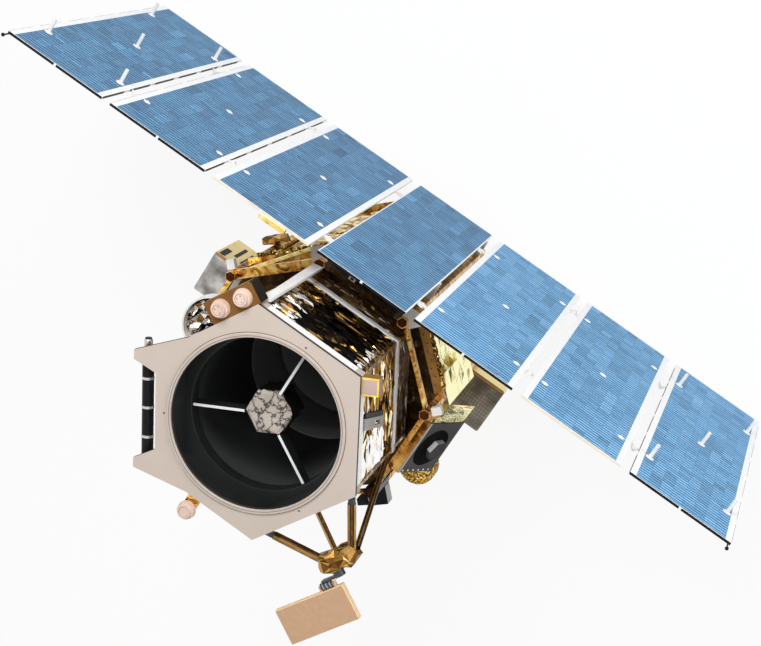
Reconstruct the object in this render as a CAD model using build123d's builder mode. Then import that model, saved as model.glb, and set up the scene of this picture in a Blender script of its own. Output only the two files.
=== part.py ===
"""Earth-observation satellite with a folding solar array, in millimetres.

The frame's origin is the centre of the launch ring's lower face. +Z is up along the telescope axis,
+Y points to the solar array, and +X runs along the array.
"""
import os
from math import atan2, cos, degrees, radians, sin, sqrt

from build123d import *

os.makedirs("parts", exist_ok=True)

# Clearances
seat_gap = 0.3
panel_clearance = 1.0
tube_clearance = 4.0
pin_clearance = 0.05

# Launch ring and aft deck
ring_radius = 833.0
ring_height = 150.0
ring_flange = 22.0
ring_flange_width = 60.0
ring_wall = 20.0
aft_deck_thick = 40.0

# Heights of the bus and the telescope, each from the piece that carries it
bus_height = 2450.0
deck_thick = 40.0
barrel_length = 1580.0
plate_thick = 40.0
longeron_drop = 1150.0
rim_drop = 60.0
rim_depth = 60.0
front_frame_gap = 2.0
front_frame_depth = 117.0
mid_frame_gap = 981.0
mid_frame_depth = 60.0
baffle_drop = 300.0
housing_drop = 330.0
mirror_depth = 980.0

# Telescope
barrel_radius = 930.0
barrel_wall = 105.0
frame_proud = 28.0
plate_proud = 36.0
lip_width = 38.0
lip_height = 18.0
beam_width = 24.0
beam_thick = 18.0
channel_width = 85.0
channel_thick = 26.0
channel_corner = 120.0
channel_foot_turn = 100.0
blanket_thick = 12.0
blanket_clearance = 2.0
baffle_thick = 16.0
baffle_width = 45.0
tube_margin = 8.0
tube_wall = 12.0
cell_thick = 60.0
mirror_margin = 30.0
mirror_thick = 90.0
mirror_dish = 45.0
mirror_bow = 35.0
mirror_hole = 130.0
baffle_tube_radius = 120.0
baffle_tube_wall = 8.0
baffle_tube_height = 800.0
baffle_tube_taper = 2.0
spider_ring_wall = 14.0
vane_thick = 22.0
vane_depth = 130.0
housing_radius = 198.0
housing_height = 300.0
housing_chamfer = 10.0

# Bus: the longerons stand on the corners of an octagon outside the barrel
bus_margin_x = 70.0
bus_margin_y = 174.6
bus_flat_x = 420.0
bus_flat_y = 430.0
longeron_radius = 50.0
longeron_wall = 6.0
rim_width = 44.0
left_rim_width = 80.0
right_rim_width = 30.0
bus_panel_thick = 25.0
bus_panel_inset = 8.0
deck_overhang = 62.0

# Plate tabs, measured from the middle of their hexagon side: along the side and outwards
tab_side = 210.0
tab_reach = 186.0
tab_inner_root = 316.0
tab_inner_tip = 410.0
tab_outer_tip = 488.0
tab_fair_along = 642.0
tab_fair_in = 280.0

# Torque rod between the tabs
rod_radius = 48.0
rod_length = 920.0
rod_out = 105.0
rod_cap_radius = 27.0
rod_cap_length = 110.0
clamp_along = 435.0
clamp_width = 40.0
clamp_thick = 14.0

# Horns: a twin box on one side of the plate, and one horn on a bracket
horn_side = 150.0
horn_box_width = 440.0
horn_box_out = 190.0
horn_box_depth = 170.0
horn_box_along = -290.0
horn_box_chamfer = 14.0
horn_radius = 78.0
horn_cup_radius = 54.0
horn_skirt = 40.0
horn_taper = 12.0
horn_cup = 30.0
horn_cup_hollow = 15.0
horn_wall = 10.0
horn_spacing = 207.0
lower_horn_side = -90.0
lower_horn_along = -93.0
lower_horn_out = 145.0
lower_bracket_width = 110.0
lower_bracket_depth = 70.0
lower_bracket_round = 30.0

# Patch antenna and drum on the sides of the barrel
patch_side = 30.0
patch_size = 147.0
patch_depth = 110.0
patch_along = 400.0
drum_radius = 247.0
drum_along = 100.0
drum_drop = 300.0
drum_depth = 110.0
drum_wall = 14.0
drum_floor = 24.0

# Equipment on the +X and -X sides of the bus
wedge_low_y = -158.0
wedge_high_y = 380.0
wedge_depth = 295.0
wedge_flat = 60.0
wedge_slope_height = 450.0
wedge_skin = 16.0
wedge_flange = 60.0
wedge_rib_inset = 110.0
wedge_rib_thick = 20.0
sensor_ring_radius = 190.0
sensor_ring_thick = 6.0
sensor_radius = 100.0
sensor_height = 44.0
sensor_down = 43.0
sensor_turn = -24.0
gold_drum_radius = 160.0
gold_drum_out = 178.0
gold_drum_y = -240.0
gold_drum_drop = 10.0
gold_drum_height = 170.0
gold_drum_round = 40.0
gold_foot_width = 120.0
gold_foot_height = 80.0
box_length = 86.0
box_width = 70.0
box_height = 60.0
radiator_reach = 410.0
radiator_chamfer = 12.0
radiator_depth = 420.0
right_radiator_half = 245.0
right_radiator_rise = 390.0
left_radiator_low_y = -240.0
left_radiator_high_y = 180.0
left_radiator_drop = 470.0
left_radiator_depth = 570.0
tracker_side_number = 6
tracker_width = 165.0
tracker_back = 61.0
tracker_box = 133.0
tracker_reach = 64.0
tracker_rise = 165.0
tracker_mouth = 60.0
tracker_step = 5.0
sun_sensor_x = -133.0
sun_sensor_size = 62.0
sun_sensor_out = 30.0
restraint_height = 90.0
restraint_depth = 66.0
restraint_length = 230.0
restraint_along = 427.0
restraint_drop = 780.0

# Solar array
array_stand = 234.0
panel_width = 953.0
centre_panel_width = 864.0
panel_length = 3327.0
panel_drop = 751.0
panel_gap = 86.0
panel_thick = 22.0
fold_offset = 14.0
post_length = 135.0
post_radius = 17.0
post_flange_radius = 38.0
post_flange_thick = 6.0
post_step_x = 378.0
post_step_z = 1115.0
stub_length = 130.0
stub_radius = 7.0
stub_ball = 16.0
knuckle_radius = 15.0
pin_radius = 8.0
ear_thick = 14.0
tongue_thick = 26.0
ear_gap = 3.0
lug_foot = 16.0
edge_bar_length = 250.0
edge_bar_size = 46.0
edge_bar_inset = 222.0
standoff_width = 50.0
standoff_low = 198.0
bracket_thick = 20.0
bracket_in = 90.0
bracket_leg = 40.0
bracket_wing = 145.0
bracket_wing_out = 60.0
bracket_wing_width = 75.0
standoff_below_deck = 330.0

# Hinges of the root, middle and outer fold: heights above the panels' lower edge
root_hinges = (2918.0, 638.0)
middle_hinges = (2778.0, 578.0)
outer_hinges = (2708.0, 798.0)

# Data antenna on its strut pyramid
antenna_side = -30.0
front_strut_radius = 34.0
rear_strut_radius = 24.0
strut_low_along = -387.0
strut_high_along = 422.0
strut_tips = (-100.0, 0.0, 120.0, 160.0)
apex_out = 440.0
apex_drop = 170.0
apex_middle = 45.0
apex_along = 350.0
apex_depth = 150.0
apex_tall = 190.0
apex_chamfer = 45.0
fitting_slim = 4.0
fitting_length = 75.0
fitting_foot_along = 60.0
fitting_foot_tall = 36.0
fitting_foot_thick = 10.0
roll_along = -10.0
roll_radius = 48.0
roll_length = 40.0
tilt_along = -150.0
tilt_radius = 30.0
tilt_length = 110.0
link_thick = 18.0
dish_width = 640.0
dish_depth = 312.0
dish_thick = 60.0
dish_end = -22.0
dish_gap = 6.0
dish_chamfer = 6.0
arm_thick = 18.0
arm_radius = 22.0
arm_overlap = 1.0

# Worked out from the values above
barrel_apothem = barrel_radius * sqrt(3) / 2
hex_radius = barrel_radius + plate_proud
apothem = hex_radius * sqrt(3) / 2
frame_radius = barrel_radius + frame_proud
frame_face = frame_radius * sqrt(3) / 2
aperture_radius = barrel_apothem - barrel_wall
baffle_radius = aperture_radius - baffle_width
tube_radius = baffle_radius + tube_margin + tube_wall
mirror_radius = tube_radius - tube_wall - mirror_margin
bus_half_x = barrel_radius + bus_margin_x
bus_half_y = barrel_apothem + bus_margin_y
bus_foot = ring_height + aft_deck_thick
bus_top = bus_foot + bus_height
deck_top = bus_top + deck_thick
plate_back = deck_top + barrel_length
plate_front = plate_back + plate_thick
longeron_top = plate_front - longeron_drop
rim_high = longeron_top - rim_drop
front_frame_high = plate_back - front_frame_gap
front_frame_low = front_frame_high - front_frame_depth
mid_frame_high = front_frame_low - mid_frame_gap
mid_frame_low = mid_frame_high - mid_frame_depth
baffle_front = plate_front - baffle_drop
mirror_seat = deck_top - mirror_depth
apex_height = plate_front - apex_drop
panel_high = plate_front - panel_drop
panel_low = panel_high - panel_length
cell_face = bus_half_y + array_stand
panel_back = cell_face - panel_thick
panel_middle = (cell_face + panel_back) / 2
rim_face = bus_half_x + rim_width / 2
bus_corners = [
    (bus_half_x, bus_flat_y), (bus_flat_x, bus_half_y), (-bus_flat_x, bus_half_y),
    (-bus_half_x, bus_flat_y), (-bus_half_x, -bus_flat_y), (-bus_flat_x, -bus_half_y),
    (bus_flat_x, -bus_half_y), (bus_half_x, -bus_flat_y),
]

# Sides of the octagon: start, end, direction that the side faces, rim width there
bus_sides = []
for number, corner in enumerate(bus_corners):
    start, end = Vector(*corner), Vector(*bus_corners[(number + 1) % len(bus_corners)])
    run = end - start
    faces = degrees(atan2(-run.X, run.Y))
    diagonal = number % 2 == 0
    width = rim_width if not diagonal else right_rim_width if start.X + end.X > 0 else left_rim_width
    bus_sides.append((start, end, faces, width))

# How far a longeron, with its corner at 60 degrees, reaches towards a corner side
longeron_reach = longeron_radius * cos(radians(60 - bus_sides[0][2]))


def save(piece, name):
    """Label a finished piece and write it as its own file."""
    piece.label = name
    export_step(piece, f"parts/{name}.step")


def side(angle, out, height):
    """Plane facing the given direction: x runs along the side, y is up, z points outwards."""
    direction = Vector(cos(radians(angle)), sin(radians(angle)), 0)
    along = Vector(-sin(radians(angle)), cos(radians(angle)), 0)
    return Plane(direction * out + Vector(0, 0, height), x_dir=along, z_dir=direction)


def place(angle, along, out, height):
    """Point in the frame, given along a side, outwards from the axis, and up."""
    return side(angle, out, height).from_local_coords(Vector(along, 0, 0))


def rod_between(start, end, radius):
    """Add a round rod between two points to the part that is being built."""
    start, end = Vector(start), Vector(end)
    plane = Plane(start, z_dir=end - start)
    with BuildSketch(plane) as section:
        Circle(radius)
    extrude(section.sketch, amount=(end - start).length)


# Launch ring: a channel section turned about the axis
with BuildPart() as launch_ring:
    with BuildSketch(Plane.XZ):
        with BuildLine():
            Polyline(
                (ring_radius - ring_flange_width, 0), (ring_radius, 0), (ring_radius, ring_flange),
                (ring_radius - ring_wall, ring_flange + ring_wall),
                (ring_radius - ring_wall, ring_height - ring_flange - ring_wall),
                (ring_radius, ring_height - ring_flange), (ring_radius, ring_height),
                (ring_radius - ring_flange_width, ring_height),
                (ring_radius - ring_flange_width, ring_height - ring_flange),
                (ring_radius - 2 * ring_wall, ring_height - ring_flange - ring_wall),
                (ring_radius - 2 * ring_wall, ring_flange + ring_wall),
                (ring_radius - ring_flange_width, ring_flange), close=True,
            )
        make_face()
    revolve(axis=Axis.Z)
save(launch_ring.part, "launch_ring")

# Aft deck: the octagon, wide enough to carry the longerons
with BuildPart() as aft_deck:
    with BuildSketch(Plane.XY.offset(ring_height)):
        with BuildLine():
            Polyline(*bus_corners, close=True)
        make_face()
        offset(amount=longeron_radius, kind=Kind.INTERSECTION)
    extrude(amount=aft_deck_thick)
save(aft_deck.part, "aft_deck")

# Bus frame: eight hexagonal tubes and the rim beams that tie their tops together
with BuildPart() as bus_frame:
    with BuildSketch(Plane.XY.offset(bus_foot)):
        with Locations(*bus_corners):
            RegularPolygon(longeron_radius, 6)
    extrude(amount=longeron_top - bus_foot)
    with BuildSketch(Plane.XY.offset(rim_high - rim_depth)):
        for start, end, faces, width in bus_sides:
            with Locations(Location((start + end) / 2, (0, 0, faces))):
                Rectangle(width, (end - start).length)
    extrude(amount=rim_depth)
    with BuildSketch(Plane.XY.offset(bus_foot)):
        with Locations(*bus_corners):
            RegularPolygon(longeron_radius - longeron_wall, 6)
    extrude(amount=longeron_top - bus_foot, mode=Mode.SUBTRACT)
save(bus_frame.part, "bus_frame")

# Bus panels: one between each pair of longerons, sorted into corner sides and straight sides
bus_panels = ([], [])
for number, (start, end, faces, width) in enumerate(bus_sides):
    middle = side(faces, 0, bus_foot).to_local_coords((start + end) / 2)
    with BuildPart() as bus_panel:
        with BuildSketch(side(faces, middle.Z - bus_panel_inset - bus_panel_thick, bus_foot)):
            with Locations((middle.X, bus_height / 2)):
                Rectangle((end - start).length - 2 * longeron_radius - 2 * panel_clearance, bus_height)
        extrude(amount=bus_panel_thick)
    bus_panels[number % 2].append(bus_panel.part)
save(Compound(children=bus_panels[0]), "bus_corner_panels")
save(Compound(children=bus_panels[1]), "bus_side_panels")

# Top deck: rests on the panels, overhangs the corner sides, and is open for longerons and tube
with BuildPart() as top_deck:
    with BuildSketch(Plane.XY.offset(bus_top)):
        with BuildLine():
            Polyline(*bus_corners, close=True)
        make_face()
        offset(amount=-bus_panel_inset, kind=Kind.INTERSECTION)
        for start, end, faces, width in bus_sides[::2]:
            with Locations(Location((start + end) / 2, (0, 0, faces))):
                Rectangle(2 * deck_overhang, (end - start).length)
        with Locations(*bus_corners):
            Circle(longeron_radius + panel_clearance, mode=Mode.SUBTRACT)
        Circle(tube_radius + tube_clearance, mode=Mode.SUBTRACT)
    extrude(amount=deck_thick)
save(top_deck.part, "top_deck")

# Barrel: a hexagonal tube from the deck to the front plate
with BuildPart() as barrel:
    with BuildSketch(Plane.XY.offset(deck_top)):
        RegularPolygon(barrel_radius, 6)
        RegularPolygon(aperture_radius, 6, major_radius=False, mode=Mode.SUBTRACT)
    extrude(amount=barrel_length)
save(barrel.part, "barrel")

# Baffle ring inside the barrel, and the tube and mirror cell that hang from it
with BuildPart() as baffle_ring:
    with BuildSketch(Plane.XY.offset(baffle_front - baffle_thick)):
        RegularPolygon(aperture_radius - seat_gap, 6, major_radius=False)
        Circle(baffle_radius, mode=Mode.SUBTRACT)
    extrude(amount=baffle_thick)
save(baffle_ring.part, "baffle_ring")

with BuildPart() as telescope_tube:
    with BuildSketch(Plane.XY.offset(mirror_seat - cell_thick)):
        Circle(tube_radius)
    extrude(amount=baffle_front - baffle_thick - mirror_seat + cell_thick)
    with BuildSketch(Plane.XY.offset(mirror_seat)):
        Circle(tube_radius - tube_wall)
    extrude(amount=baffle_front - baffle_thick - mirror_seat, mode=Mode.SUBTRACT)
save(telescope_tube.part, "telescope_tube")

# Primary mirror: a dished disc with a hole for its baffle tube
with BuildPart() as primary_mirror:
    with BuildSketch(Plane.XZ):
        with BuildLine():
            rim_point = (mirror_radius, mirror_seat + mirror_thick)
            hole_point = (mirror_hole, mirror_seat + mirror_thick - mirror_dish)
            bow = ((mirror_radius + mirror_hole) / 2, mirror_seat + mirror_thick - mirror_bow)
            Polyline(hole_point, (mirror_hole, mirror_seat), (mirror_radius, mirror_seat), rim_point)
            ThreePointArc(rim_point, bow, hole_point)
        make_face()
    revolve(axis=Axis.Z)
save(primary_mirror.part, "primary_mirror")

with BuildPart() as mirror_baffle:
    with BuildSketch(Plane.XY.offset(mirror_seat)):
        Circle(baffle_tube_radius)
    extrude(amount=baffle_tube_height, taper=baffle_tube_taper)
    with BuildSketch(Plane.XY.offset(mirror_seat)):
        Circle(baffle_tube_radius - baffle_tube_wall)
    extrude(amount=baffle_tube_height, taper=baffle_tube_taper, mode=Mode.SUBTRACT)
save(mirror_baffle.part, "mirror_baffle")

# Spider: a ring inside the baffle ring's hole, and three vanes from it to the housing
with BuildPart() as spider:
    with BuildSketch(Plane.XY.offset(baffle_front - vane_depth)):
        Circle(baffle_radius - seat_gap)
        Circle(baffle_radius - spider_ring_wall, mode=Mode.SUBTRACT)
        with PolarLocations((baffle_radius - spider_ring_wall) / 2, 3, start_angle=90):
            Rectangle(baffle_radius - spider_ring_wall, vane_thick)
        RegularPolygon(housing_radius + seat_gap, 6, rotation=30, mode=Mode.SUBTRACT)
    extrude(amount=vane_depth)
save(spider.part, "spider")

with BuildPart() as secondary_housing:
    with BuildSketch(Plane.XY.offset(plate_front - housing_drop - housing_height)):
        RegularPolygon(housing_radius, 6, rotation=30)
    extrude(amount=housing_height)
    chamfer(secondary_housing.faces().sort_by(Axis.Z)[-1].edges(), length=housing_chamfer)
save(secondary_housing.part, "secondary_housing")

# Front plate: hexagon, two tabs and the round opening
with BuildPart() as front_plate:
    with BuildSketch(Plane.XY.offset(plate_back)):
        RegularPolygon(hex_radius, 6)
        for hand in (-1, 1):
            outline = [
                (tab_inner_root, 0), (tab_inner_tip, tab_reach), (tab_outer_tip, tab_reach),
                (tab_fair_along, -tab_fair_in), (tab_inner_root, -tab_fair_in),
            ]
            with BuildLine():
                Polyline(*[place(tab_side, hand * a, apothem + o, 0) for a, o in outline], close=True)
            make_face()
        Circle(aperture_radius, mode=Mode.SUBTRACT)
    extrude(amount=plate_thick)
save(front_plate.part, "front_plate")

with BuildPart() as aperture_lip:
    with BuildSketch(Plane.XY.offset(plate_front)):
        Circle(aperture_radius + lip_width)
        Circle(aperture_radius, mode=Mode.SUBTRACT)
    extrude(amount=lip_height)
    fillet(aperture_lip.faces().sort_by(Axis.Z)[-1].edges(), radius=lip_height / 3)
save(aperture_lip.part, "aperture_lip")

# Frames, corner beams and blankets round the barrel
for name, low, high in (
    ("front_frame", front_frame_low, front_frame_high),
    ("mid_frame", mid_frame_low, mid_frame_high),
):
    with BuildPart() as frame_ring:
        with BuildSketch(Plane.XY.offset(low)):
            RegularPolygon(frame_radius, 6)
            RegularPolygon(barrel_radius, 6, mode=Mode.SUBTRACT)
        extrude(amount=high - low)
    save(frame_ring.part, name)

# Spans between deck and frames: low end, high end
blanket_spans = [(deck_top, mid_frame_low), (mid_frame_high, front_frame_low)]
blanket_width = barrel_radius - 2 * beam_width
with BuildPart() as corner_beams:
    for low, high in blanket_spans:
        with BuildSketch(Plane.XY.offset(low)):
            RegularPolygon(barrel_radius + beam_thick, 6)
            RegularPolygon(barrel_radius, 6, mode=Mode.SUBTRACT)
            with PolarLocations(barrel_apothem, 6, start_angle=30):
                Rectangle(4 * beam_thick, blanket_width, mode=Mode.SUBTRACT)
        extrude(amount=high - low)
save(corner_beams.part, "corner_beams")

# The channel that slopes from the plate's corner to the top of a longeron
with BuildPart() as corner_channel:
    channel_out = barrel_radius + beam_thick + seat_gap + channel_thick / 2
    with BuildSketch(Plane.XY.offset(plate_front - horn_box_depth - seat_gap)) as channel_top:
        with Locations(Location(place(channel_corner, 0, channel_out, 0), (0, 0, channel_corner))):
            Rectangle(channel_thick, channel_width)
    with BuildSketch(Plane.XY.offset(longeron_top)) as channel_foot:
        foot_place = (-bus_flat_x, bus_half_y - longeron_radius / 2, 0)
        with Locations(Location(foot_place, (0, 0, channel_foot_turn))):
            Rectangle(channel_thick, channel_width)
    loft(sections=[channel_foot.sketch, channel_top.sketch])
save(corner_channel.part, "corner_channel")

with BuildPart() as blankets:
    for low, high in blanket_spans:
        with BuildSketch(Plane.XY.offset(low)):
            with PolarLocations(barrel_apothem + blanket_thick / 2, 6, start_angle=30):
                Rectangle(blanket_thick, blanket_width - 2 * blanket_clearance)
        extrude(amount=high - low)
save(blankets.part, "blankets")

# Torque rod behind the tabs, with its clamps
rod_height = plate_back - clamp_thick - rod_radius
with BuildPart() as torque_rod:
    rod_between(
        place(tab_side, -rod_length / 2, apothem + rod_out, rod_height),
        place(tab_side, rod_length / 2, apothem + rod_out, rod_height), rod_radius,
    )
    rod_between(
        place(tab_side, -rod_length / 2 - rod_cap_length, apothem + rod_out, rod_height),
        place(tab_side, -rod_length / 2, apothem + rod_out, rod_height), rod_cap_radius,
    )
save(torque_rod.part, "torque_rod")

with BuildPart() as rod_clamps:
    for along in (-clamp_along, clamp_along):
        section = side(tab_side + 90, along - clamp_width / 2, rod_height)
        centre = section.to_local_coords(place(tab_side, along, apothem + rod_out, rod_height))
        with BuildSketch(section):
            with Locations((centre.X, 0)):
                Circle(rod_radius + clamp_thick)
                with Locations((0, rod_radius / 2 + clamp_thick / 2)):
                    Rectangle(2 * rod_radius, rod_radius + clamp_thick)
                Circle(rod_radius + seat_gap, mode=Mode.SUBTRACT)
        extrude(amount=clamp_width)
save(rod_clamps.part, "rod_clamps")

# Horns
with BuildPart() as horn_box:
    with BuildSketch(side(horn_side, apothem, plate_front - horn_box_depth / 2)):
        with Locations((horn_box_along, 0)):
            Rectangle(horn_box_width, horn_box_depth)
    extrude(amount=horn_box_out)
    chamfer(horn_box.edges().filter_by(Axis.Z).sort_by(Axis.Y)[-1], length=horn_box_chamfer)
save(horn_box.part, "horn_box")


def add_horn(centre):
    """Add one cup-shaped horn, skirt below and rim above, to the part that is being built."""
    with BuildSketch(Plane(centre)) as skirt:
        Circle(horn_radius)
    extrude(skirt.sketch, amount=horn_skirt, taper=horn_taper)
    with BuildSketch(Plane(centre + Vector(0, 0, horn_skirt))) as cup:
        Circle(horn_cup_radius)
    extrude(cup.sketch, amount=horn_cup)
    with BuildSketch(Plane(centre + Vector(0, 0, horn_skirt + horn_cup - horn_cup_hollow))) as hollow:
        Circle(horn_cup_radius - horn_wall)
    extrude(hollow.sketch, amount=horn_cup_hollow, mode=Mode.SUBTRACT)


with BuildPart() as horns:
    for step in (-horn_spacing / 2, horn_spacing / 2):
        add_horn(place(horn_side, horn_box_along + step, apothem + horn_box_out / 2, plate_front))
save(horns.part, "horns")

with BuildPart() as lower_horn_bracket:
    with BuildSketch(side(lower_horn_side, apothem, plate_back - lower_bracket_depth / 2)):
        with Locations((lower_horn_along, 0)):
            Rectangle(lower_bracket_width, lower_bracket_depth)
    extrude(amount=lower_horn_out + horn_radius)
    end_edges = lower_horn_bracket.faces().sort_by(Axis.Y)[0].edges().filter_by(Axis.Z)
    fillet(end_edges, radius=lower_bracket_round)
save(lower_horn_bracket.part, "lower_horn_bracket")

with BuildPart() as lower_horn:
    add_horn(place(lower_horn_side, lower_horn_along, apothem + lower_horn_out, plate_back))
save(lower_horn.part, "lower_horn")

# Patch antenna on the front frame, beside a corner
with BuildPart() as patch_antenna:
    with BuildSketch(side(patch_side, frame_face, plate_back - patch_depth / 2)):
        with Locations((patch_along, 0)):
            Rectangle(patch_size, patch_depth)
    extrude(amount=patch_size)
save(patch_antenna.part, "patch_antenna")

# Open drum against the barrel, below the horns: floor, then the hoop
with BuildPart() as side_drum:
    for bore, depth in ((0, drum_floor), (drum_radius - drum_wall, drum_depth)):
        with BuildSketch(Plane.XY.offset(plate_front - drum_drop - drum_depth)):
            with Locations(place(horn_side, drum_along, barrel_apothem + blanket_thick, 0)):
                Circle(drum_radius)
                if bore:
                    Circle(bore, mode=Mode.SUBTRACT)
            RegularPolygon(barrel_apothem + blanket_thick, 6, major_radius=False, mode=Mode.SUBTRACT)
        extrude(amount=depth)
save(side_drum.part, "side_drum")

# Sloping plate on the +X rim, carried by two ribs, with the sensor on its slope
wedge_out = bus_half_x + wedge_depth
wedge_ridge = rim_face + wedge_flat
wedge_edge = rim_high - wedge_slope_height
wedge_foot = wedge_edge - wedge_flange
with BuildPart() as wedge_housing:
    with BuildSketch(Plane.XZ.offset(-wedge_high_y)):
        with BuildLine():
            Polyline(
                (rim_face, rim_high - rim_depth), (rim_face, rim_high), (wedge_ridge, rim_high),
                (wedge_out, wedge_edge), (wedge_out, wedge_foot), (wedge_out - wedge_skin, wedge_foot),
                (wedge_out - wedge_skin, wedge_edge - wedge_skin / 2),
                (wedge_ridge - wedge_skin / 2, rim_high - wedge_skin),
                (rim_face + wedge_skin, rim_high - wedge_skin),
                (rim_face + wedge_skin, rim_high - rim_depth), close=True,
            )
        make_face()
    extrude(amount=wedge_high_y - wedge_low_y)
    for rib_high_y in (wedge_high_y - wedge_rib_inset, wedge_low_y + wedge_rib_inset + wedge_rib_thick):
        with BuildSketch(Plane.XZ.offset(-rib_high_y)):
            with BuildLine():
                Polyline(
                    (rim_face, rim_high - rim_depth), (rim_face, rim_high), (wedge_ridge, rim_high),
                    (wedge_out, wedge_edge), (wedge_out, wedge_foot), close=True,
                )
            make_face()
        extrude(amount=wedge_rib_thick)
save(wedge_housing.part, "wedge_housing")

slope = Plane(
    ((wedge_ridge + wedge_out) / 2, (wedge_low_y + wedge_high_y) / 2, (rim_high + wedge_edge) / 2),
    x_dir=(0, 1, 0), z_dir=(rim_high - wedge_edge, 0, wedge_out - wedge_ridge),
)
with BuildPart() as hex_sensor:
    with BuildSketch(slope):
        Circle(sensor_ring_radius)
    extrude(amount=sensor_ring_thick)
    with BuildSketch(slope.offset(sensor_ring_thick)):
        with Locations((0, -sensor_down)):
            RegularPolygon(sensor_radius, 6, rotation=sensor_turn)
    extrude(amount=sensor_height)
save(hex_sensor.part, "hex_sensor")

# Upright drum under the plate's lower end, on a foot from the bus panel
bus_panel_face = bus_half_x - bus_panel_inset
gold_drum_foot = wedge_foot - gold_drum_drop - gold_drum_height
with BuildPart() as gold_drum:
    with BuildSketch(Plane.XY.offset(gold_drum_foot)):
        with Locations((bus_half_x + gold_drum_out, gold_drum_y)):
            Circle(gold_drum_radius)
    extrude(amount=gold_drum_height)
    fillet(gold_drum.faces().sort_by(Axis.Z)[-1].edges(), radius=gold_drum_round)
    foot_reach = bus_half_x + gold_drum_out - bus_panel_face
    with Locations((bus_panel_face + foot_reach / 2, gold_drum_y, gold_drum_foot + gold_foot_height / 2)):
        Box(foot_reach, gold_foot_width, gold_foot_height)
save(gold_drum.part, "gold_drum")

# Electronics boxes outside the longerons at the ends of the array's corner sides
with BuildPart() as rim_boxes:
    for start, end, faces, _ in (bus_sides[0], bus_sides[2]):
        corner = max(start, end, key=lambda point: abs(point.X))
        edge = side(faces, 0, 0)
        box_out = corner.dot(edge.z_dir) + longeron_reach + seat_gap + box_length / 2
        box_place = place(faces, corner.dot(edge.x_dir), box_out, rim_high - box_height / 2)
        with Locations(Location(box_place, (0, 0, faces))):
            Box(box_length, box_width, box_height)
save(rim_boxes.part, "rim_boxes")

# Radiator boxes: name, sign of x, low y, high y, low height, high height
left_radiator_high = deck_top - left_radiator_drop
right_radiator_low = bus_foot + right_radiator_rise
radiator_table = [
    ("radiator_box_right", 1, -right_radiator_half, right_radiator_half,
     right_radiator_low, right_radiator_low + radiator_depth),
    ("radiator_box_left", -1, left_radiator_low_y, left_radiator_high_y,
     left_radiator_high - left_radiator_depth, left_radiator_high),
]
for name, sign, low_y, high_y, low, high in radiator_table:
    reach = bus_half_x + radiator_reach - bus_panel_face
    with BuildPart() as radiator:
        with Locations((sign * (bus_panel_face + reach / 2), (low_y + high_y) / 2, (low + high) / 2)):
            Box(reach, high_y - low_y, high - low)
        chamfer(radiator.edges().filter_by(Axis.Z), length=radiator_chamfer)
    save(radiator.part, name)

# Star tracker on the deck's edge, outside a longeron: box, and baffle that rises along the side
_, end, tracker_faces, _ = bus_sides[tracker_side_number]
edge = side(tracker_faces, 0, 0)
tracker_out = end.dot(edge.z_dir) + longeron_reach + seat_gap + tracker_width / 2
tracker_along = end.dot(edge.x_dir) - tracker_back
tracker_foot = deck_top + seat_gap
with BuildPart() as star_tracker:
    with BuildSketch(Plane.XY.offset(tracker_foot)):
        tracker_place = place(tracker_faces, tracker_along, tracker_out, 0)
        with Locations(Location(tracker_place, (0, 0, tracker_faces))):
            Rectangle(tracker_width, tracker_width)
    extrude(amount=tracker_box)
    baffle_sections = []
    root_size = tracker_width - 2 * tracker_step, tracker_box - 2 * tracker_step
    mouth_size = tracker_mouth, tracker_mouth
    for reach, rise, size in ((0, 0, root_size), (tracker_reach, tracker_rise, mouth_size)):
        section_along = tracker_along - tracker_width / 2 - reach
        section_height = tracker_foot + tracker_box / 2 + rise
        section_place = place(tracker_faces, section_along, tracker_out, section_height)
        with BuildSketch(Plane(section_place, x_dir=edge.z_dir, z_dir=-edge.x_dir)) as section:
            Rectangle(*size)
        baffle_sections.append(section.sketch)
    loft(sections=baffle_sections)
save(star_tracker.part, "star_tracker")

# Sun sensor on the +Y rim beam
with BuildPart() as sun_sensor:
    with BuildSketch(side(90, bus_half_y + rim_width / 2, rim_high - rim_depth / 2)):
        with Locations((-sun_sensor_x, 0)):
            Rectangle(sun_sensor_size, sun_sensor_size)
    extrude(amount=sun_sensor_out)
save(sun_sensor.part, "sun_sensor")

# Restraint box, open at its outer end, that the folded left wing rests beside
left_start, _, left_faces, _ = bus_sides[2]
left_out = side(left_faces, 0, 0).to_local_coords(left_start).Z
with BuildPart() as restraint_box:
    with BuildSketch(side(left_faces, left_out + longeron_reach + seat_gap, deck_top - restraint_drop)):
        with Locations((restraint_along, 0)):
            Rectangle(restraint_length, restraint_height)
    extrude(amount=restraint_depth)
    end_face = restraint_box.faces().sort_by(Axis.X)[0]
    offset(amount=-longeron_wall, openings=end_face)
save(restraint_box.part, "restraint_box")

# Data antenna: struts from two frames to the apex block
with BuildPart() as apex_block:
    with BuildSketch(side(antenna_side, apothem + apex_out - apex_depth / 2, apex_height)):
        with Locations((apex_middle, 0)):
            Rectangle(apex_along, apex_tall)
    extrude(amount=apex_depth)
    chamfer(apex_block.edges(), length=apex_chamfer)
save(apex_block.part, "apex_block")

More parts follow.
